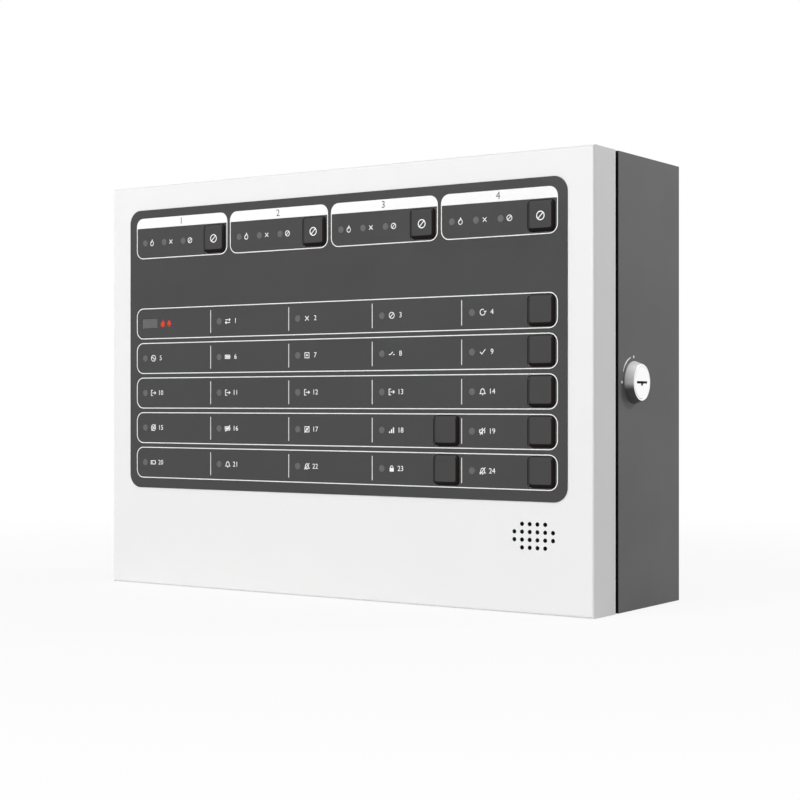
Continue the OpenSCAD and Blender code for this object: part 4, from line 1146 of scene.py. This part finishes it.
def display_silk(shape):
    """A border, and an outline and a number behind each key."""
    u, v, w, h = footprint(box("display_board"))
    shape.stroke(rounded_loop(-u, v, w - 3, h - 3, 1.5, 4), 0.25, 0, SILK, True)
    for k, (u, v) in enumerate(spots("key_switches")):
        shape.stroke(rounded_loop(-u, v, 14.6, 12.6, 0.4, 2), SILK_LINE, 0, SILK, True)
        shape.text(str(k + 1), -u, v, 2.6, 0, SILK)


for build, looks, slot in (
    (main_legs, "solder", "zinc_steel"),
    (main_parts, "part_black solder", "black_plastic"),
    (main_tan_parts, "part_tan solder", "black_plastic"),
    (crystal_can, "solder", "zinc_steel"),
    (main_silk, "silk_ink", "board_green"),
):
    dress(build, front_plane("main_board"), looks, "cabinet")
cover_looks = "relay_blue black_plastic"
dress(relay_covers, front_plane("main_board"), cover_looks, "cabinet", ["relays"])
dress(relay_print, front_plane("relays"), "silk_ink", "cabinet")
can_looks = "capacitor_sleeve solder silk_ink"
dress(capacitor_cans, front_plane("main_board"), can_looks, "cabinet", ["capacitors"])
fuse_pieces()
pin_planes = (("main", front_plane("main_board"), "cabinet", 1), ("display", display_plane(), "door", -1))
for name, shape, body, way in pin_planes:
    u, v, _, _ = footprint(box(name + "_header"))
    add_pins(shape, way * u, v)
    piece(name + "_pins", shape, "gold_plate", body)
for build, looks, slot in (
    (display_legs, "solder", "zinc_steel"),
    (display_joints, "solder", "zinc_steel"),
    (display_parts, "part_black solder", "black_plastic"),
    (display_silk, "silk_ink", "board_green"),
):
    dress(build, display_plane(), looks, "door")

# Power supply, terminals and batteries
WELL_DEPTH = 5
CLAMP_W = 7.4
CLAMP_TOP = 1 - WELL_DEPTH
LID_H = 14
LID_STEP = 0.6
POLE_SIDE = 14
POLE_BAR = (4.6, 1.1)
RIBS = 7
RIB_W = 5
RIB_MARGIN = 4


def terminal_clamps(node, ways):
    """Clamp plates and slotted screws in the wells of a terminal strip."""
    low, high = box(node)
    shape = front_plane(node)
    pitch = (high.x - low.x) / ways
    v = (low.z + high.z) / 2
    for k in range(ways):
        u = low.x + (k + 0.5) * pitch
        shape.slab(u, v, CLAMP_W, CLAMP_W, -WELL_DEPTH, CLAMP_TOP, 0.2, 0.6)
        shape.driven_head(u, v, 2.7, CLAMP_TOP, CLAMP_TOP + 1.6, 0.7, 2)
    piece(node + "_clamps", shape, "zinc_steel", "cabinet")


def cover_screws(shape):
    """Cross-head screws with washers in the plain margins of the supply's cover."""
    low, high = box("supply_case")
    strip_low = box("supply_terminals")[0].z
    for u in (low.x + 5.5, high.x - 5.5):
        for v in (low.z + 6, strip_low - 7):
            shape.lathe(u, v, ((3.6, -0.05), (3.6, 0.35), (3.5, 0.4)), 24)
            shape.driven_head(u, v, 2.8, 0.3, 1.9, 0.75, 4)


def battery_trim(node):
    """Upright ribs on the front of a battery below its lid, and plus and minus on the lid under the tabs."""
    low, high = box(node)
    ribs = Shape((0, low.y + LID_STEP, 0))
    pitch = (high.x - low.x) / RIBS
    rib_low, rib_high = low.z + RIB_MARGIN, high.z - LID_H - RIB_MARGIN
    for k in range(RIBS):
        u = low.x + (k + 0.5) * pitch
        ribs.slab(u, (rib_low + rib_high) / 2, RIB_W, rib_high - rib_low, -0.05, 0.45, 0.2, 1.2)
    piece(node + "_ribs", ribs, "battery_case", "cabinet")
    marks = front_plane(node)
    poles = ((low.x + POLE_SIDE, (POLE_BAR, POLE_BAR[::-1])), (high.x - POLE_SIDE, (POLE_BAR,)))
    for u, bars in poles:
        for k, (w, h) in enumerate(bars):
            marks.slab(u, high.z - LID_H / 2, w, h, -0.05, 0.3 + 0.01 * k, 0.12, 0.2)
    piece(node + "_marks", marks, "white_plastic", "cabinet")


terminal_clamps("supply_terminals", 5)
terminal_clamps("mains_terminals", 3)
dress(cover_screws, front_plane("supply_case"), "zinc_steel", "cabinet")
battery_trim("battery_1")
battery_trim("battery_2")

# Finishes and eased edges of the solids
OWN_FINISHES = {
    "main_board": "board_main", "display_board": "board_display", "main_chips": "chip_plastic",
    "display_chips": "chip_plastic", "door_seal": "black_foam", "sounder_gasket": "black_foam",
}
# Width of an eased edge, and the solids that have it
EASED = (
    (0.08, "fascia"),
    (0.1, "main_board display_board"),
    (0.12, "main_chips display_chips lock_plug"),
    (0.15, "alarm_lamp main_header display_header battery_tabs display_nuts earth_stud door_earth_stud"),
    (0.2, "hinge_brackets battery_strap fuse_holders sounder_clamp board_pillars display_pillars"),
    (0.25, "back_box door_shell field_terminals lock_strike"),
    (0.3, "supply_terminals hinge_arms lock_nut lock_cam"),
    (0.4, "mains_terminals cable_grommets"),
    (0.5, "supply_case battery_1 battery_2 sounder"),
)


def ease_edges(solid, width):
    """Rounds a solid's sharp edges for the eye."""
    weld = solid.modifiers.new("weld", "WELD")
    weld.merge_threshold = 0.001 * MM
    flats = solid.modifiers.new("flats", "DECIMATE")
    flats.decimate_type = "DISSOLVE"
    flats.angle_limit = math.radians(0.3)
    bevel = solid.modifiers.new("bevel", "BEVEL")
    bevel.width = width * MM
    bevel.segments = 2
    bevel.limit_method = "ANGLE"
    bevel.angle_limit = math.radians(40)
    bevel.loop_slide = False
    normals = solid.modifiers.new("normals", "WEIGHTED_NORMAL")
    normals.keep_sharp = True


# A solid takes the finish of its slot in the record, unless it has a finish of its own
for subpart in frame["record"]["subparts"]:
    name = subpart["node"]
    materials = frame["nodes"][name].data.materials
    materials.clear()
    materials.append(finishes[OWN_FINISHES.get(name, subpart["material_slot"])])
for width, names in EASED:
    for name in names.split():
        ease_edges(frame["nodes"][name], width)

# Camera, where the photograph was taken from
camera_data = bpy.data.cameras.new("camera")
camera_data.sensor_width = 36
camera_data.lens = 76.9
camera_data.shift_x = -0.0008
camera_data.shift_y = 0.0032
camera_data.clip_end = 20
camera = bpy.data.objects.new("camera", camera_data)
camera.location = (0.5686, -0.8710, -0.0106)
camera.rotation_euler = (math.radians(90), 0, math.radians(34.118))
scene.collection.objects.link(camera)
scene.camera = camera

# Floor, light and background


def seen_rays(tree):
    """1 for a ray from the camera, from gloss or through glass, and 0 for one that only carries light."""
    rays = tree.nodes.new("ShaderNodeLightPath")
    seen = rays.outputs["Is Camera Ray"]
    for kind in ("Is Glossy Ray", "Is Transmission Ray"):
        either = tree.nodes.new("ShaderNodeMath")
        either.operation = "MAXIMUM"
        tree.links.new(seen, either.inputs[0])
        tree.links.new(rays.outputs[kind], either.inputs[1])
        seen = either.outputs["Value"]
    return seen


def floor_finish():
    """White floor that keeps the object's shadow near it and is as bright as the background further out."""
    made = Finish("floor_white")
    drift = made.noise(3)
    made.set(Base_Color=made.blend(drift, shade(grey(0.78)), shade(grey(0.80))), Roughness=0.9)
    x, y, _ = made.split_place()
    far = made.span(made.length(x, y), 0.15, 0.75, 0.90, 1.0)
    glow = made.node("ShaderNodeEmission")
    mix = made.node("ShaderNodeMixShader")
    made.join(made.math("MULTIPLY", far, seen_rays(made.tree)), mix.inputs[0])
    made.join(made.shader.outputs["BSDF"], mix.inputs[1])
    made.join(glow.outputs["Emission"], mix.inputs[2])
    made.join(mix.outputs["Shader"], made.tree.nodes["Material Output"].inputs["Surface"])


FLOOR_HALF = 6.0
floor_mesh = bpy.data.meshes.new("floor")
corners = [(sx * FLOOR_HALF, sy * FLOOR_HALF, 0) for sx, sy in ((-1, -1), (1, -1), (1, 1), (-1, 1))]
floor_mesh.from_pydata(corners, [], [(0, 1, 2, 3)])
floor_finish()
floor_mesh.materials.append(finishes["floor_white"])
floor = bpy.data.objects.new("floor", floor_mesh)
floor.location.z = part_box("back_box")[0].z - 0.5 * MM
scene.collection.objects.link(floor)


def build_world(dim):
    """White to the eye, in metal and through glass, and dim as a light."""
    world = bpy.data.worlds.new("studio")
    world.use_nodes = True
    tree = world.node_tree
    tree.nodes.clear()
    mix = tree.nodes.new("ShaderNodeMixShader")
    tree.links.new(seen_rays(tree), mix.inputs[0])
    for socket, strength in ((mix.inputs[1], dim), (mix.inputs[2], 1.0)):
        sky = tree.nodes.new("ShaderNodeBackground")
        sky.inputs["Color"].default_value = (1, 1, 1, 1)
        sky.inputs["Strength"].default_value = strength
        tree.links.new(sky.outputs["Background"], socket)
    output = tree.nodes.new("ShaderNodeOutputWorld")
    tree.links.new(mix.outputs["Shader"], output.inputs["Surface"])
    scene.world = world


def area_light(name, spot, aim, size, power):
    data = bpy.data.lights.new(name, "AREA")
    data.shape = "RECTANGLE"
    data.size, data.size_y = size
    data.energy = power
    light = bpy.data.objects.new(name, data)
    light.location = spot
    light.rotation_euler = (Vector(aim) - Vector(spot)).to_track_quat("-Z", "Y").to_euler()
    light.visible_camera = False
    scene.collection.objects.link(light)


build_world(0.17)
# The key light is aimed past the panel, so that its light falls off to the right
area_light("key_light", (-0.5, -2.6, 0.9), (-1.3, -0.05, 0), (1.5, 1.5), 56)
area_light("side_light", (0.85, 0.75, 0.65), (0.16, -0.05, 0.02), (0.12, 0.12), 5.5)
area_light("top_light", (0.1, -0.3, 1.9), (0, -0.05, 0), (1.4, 1.2), 6)

scene.view_settings.view_transform = "Standard"
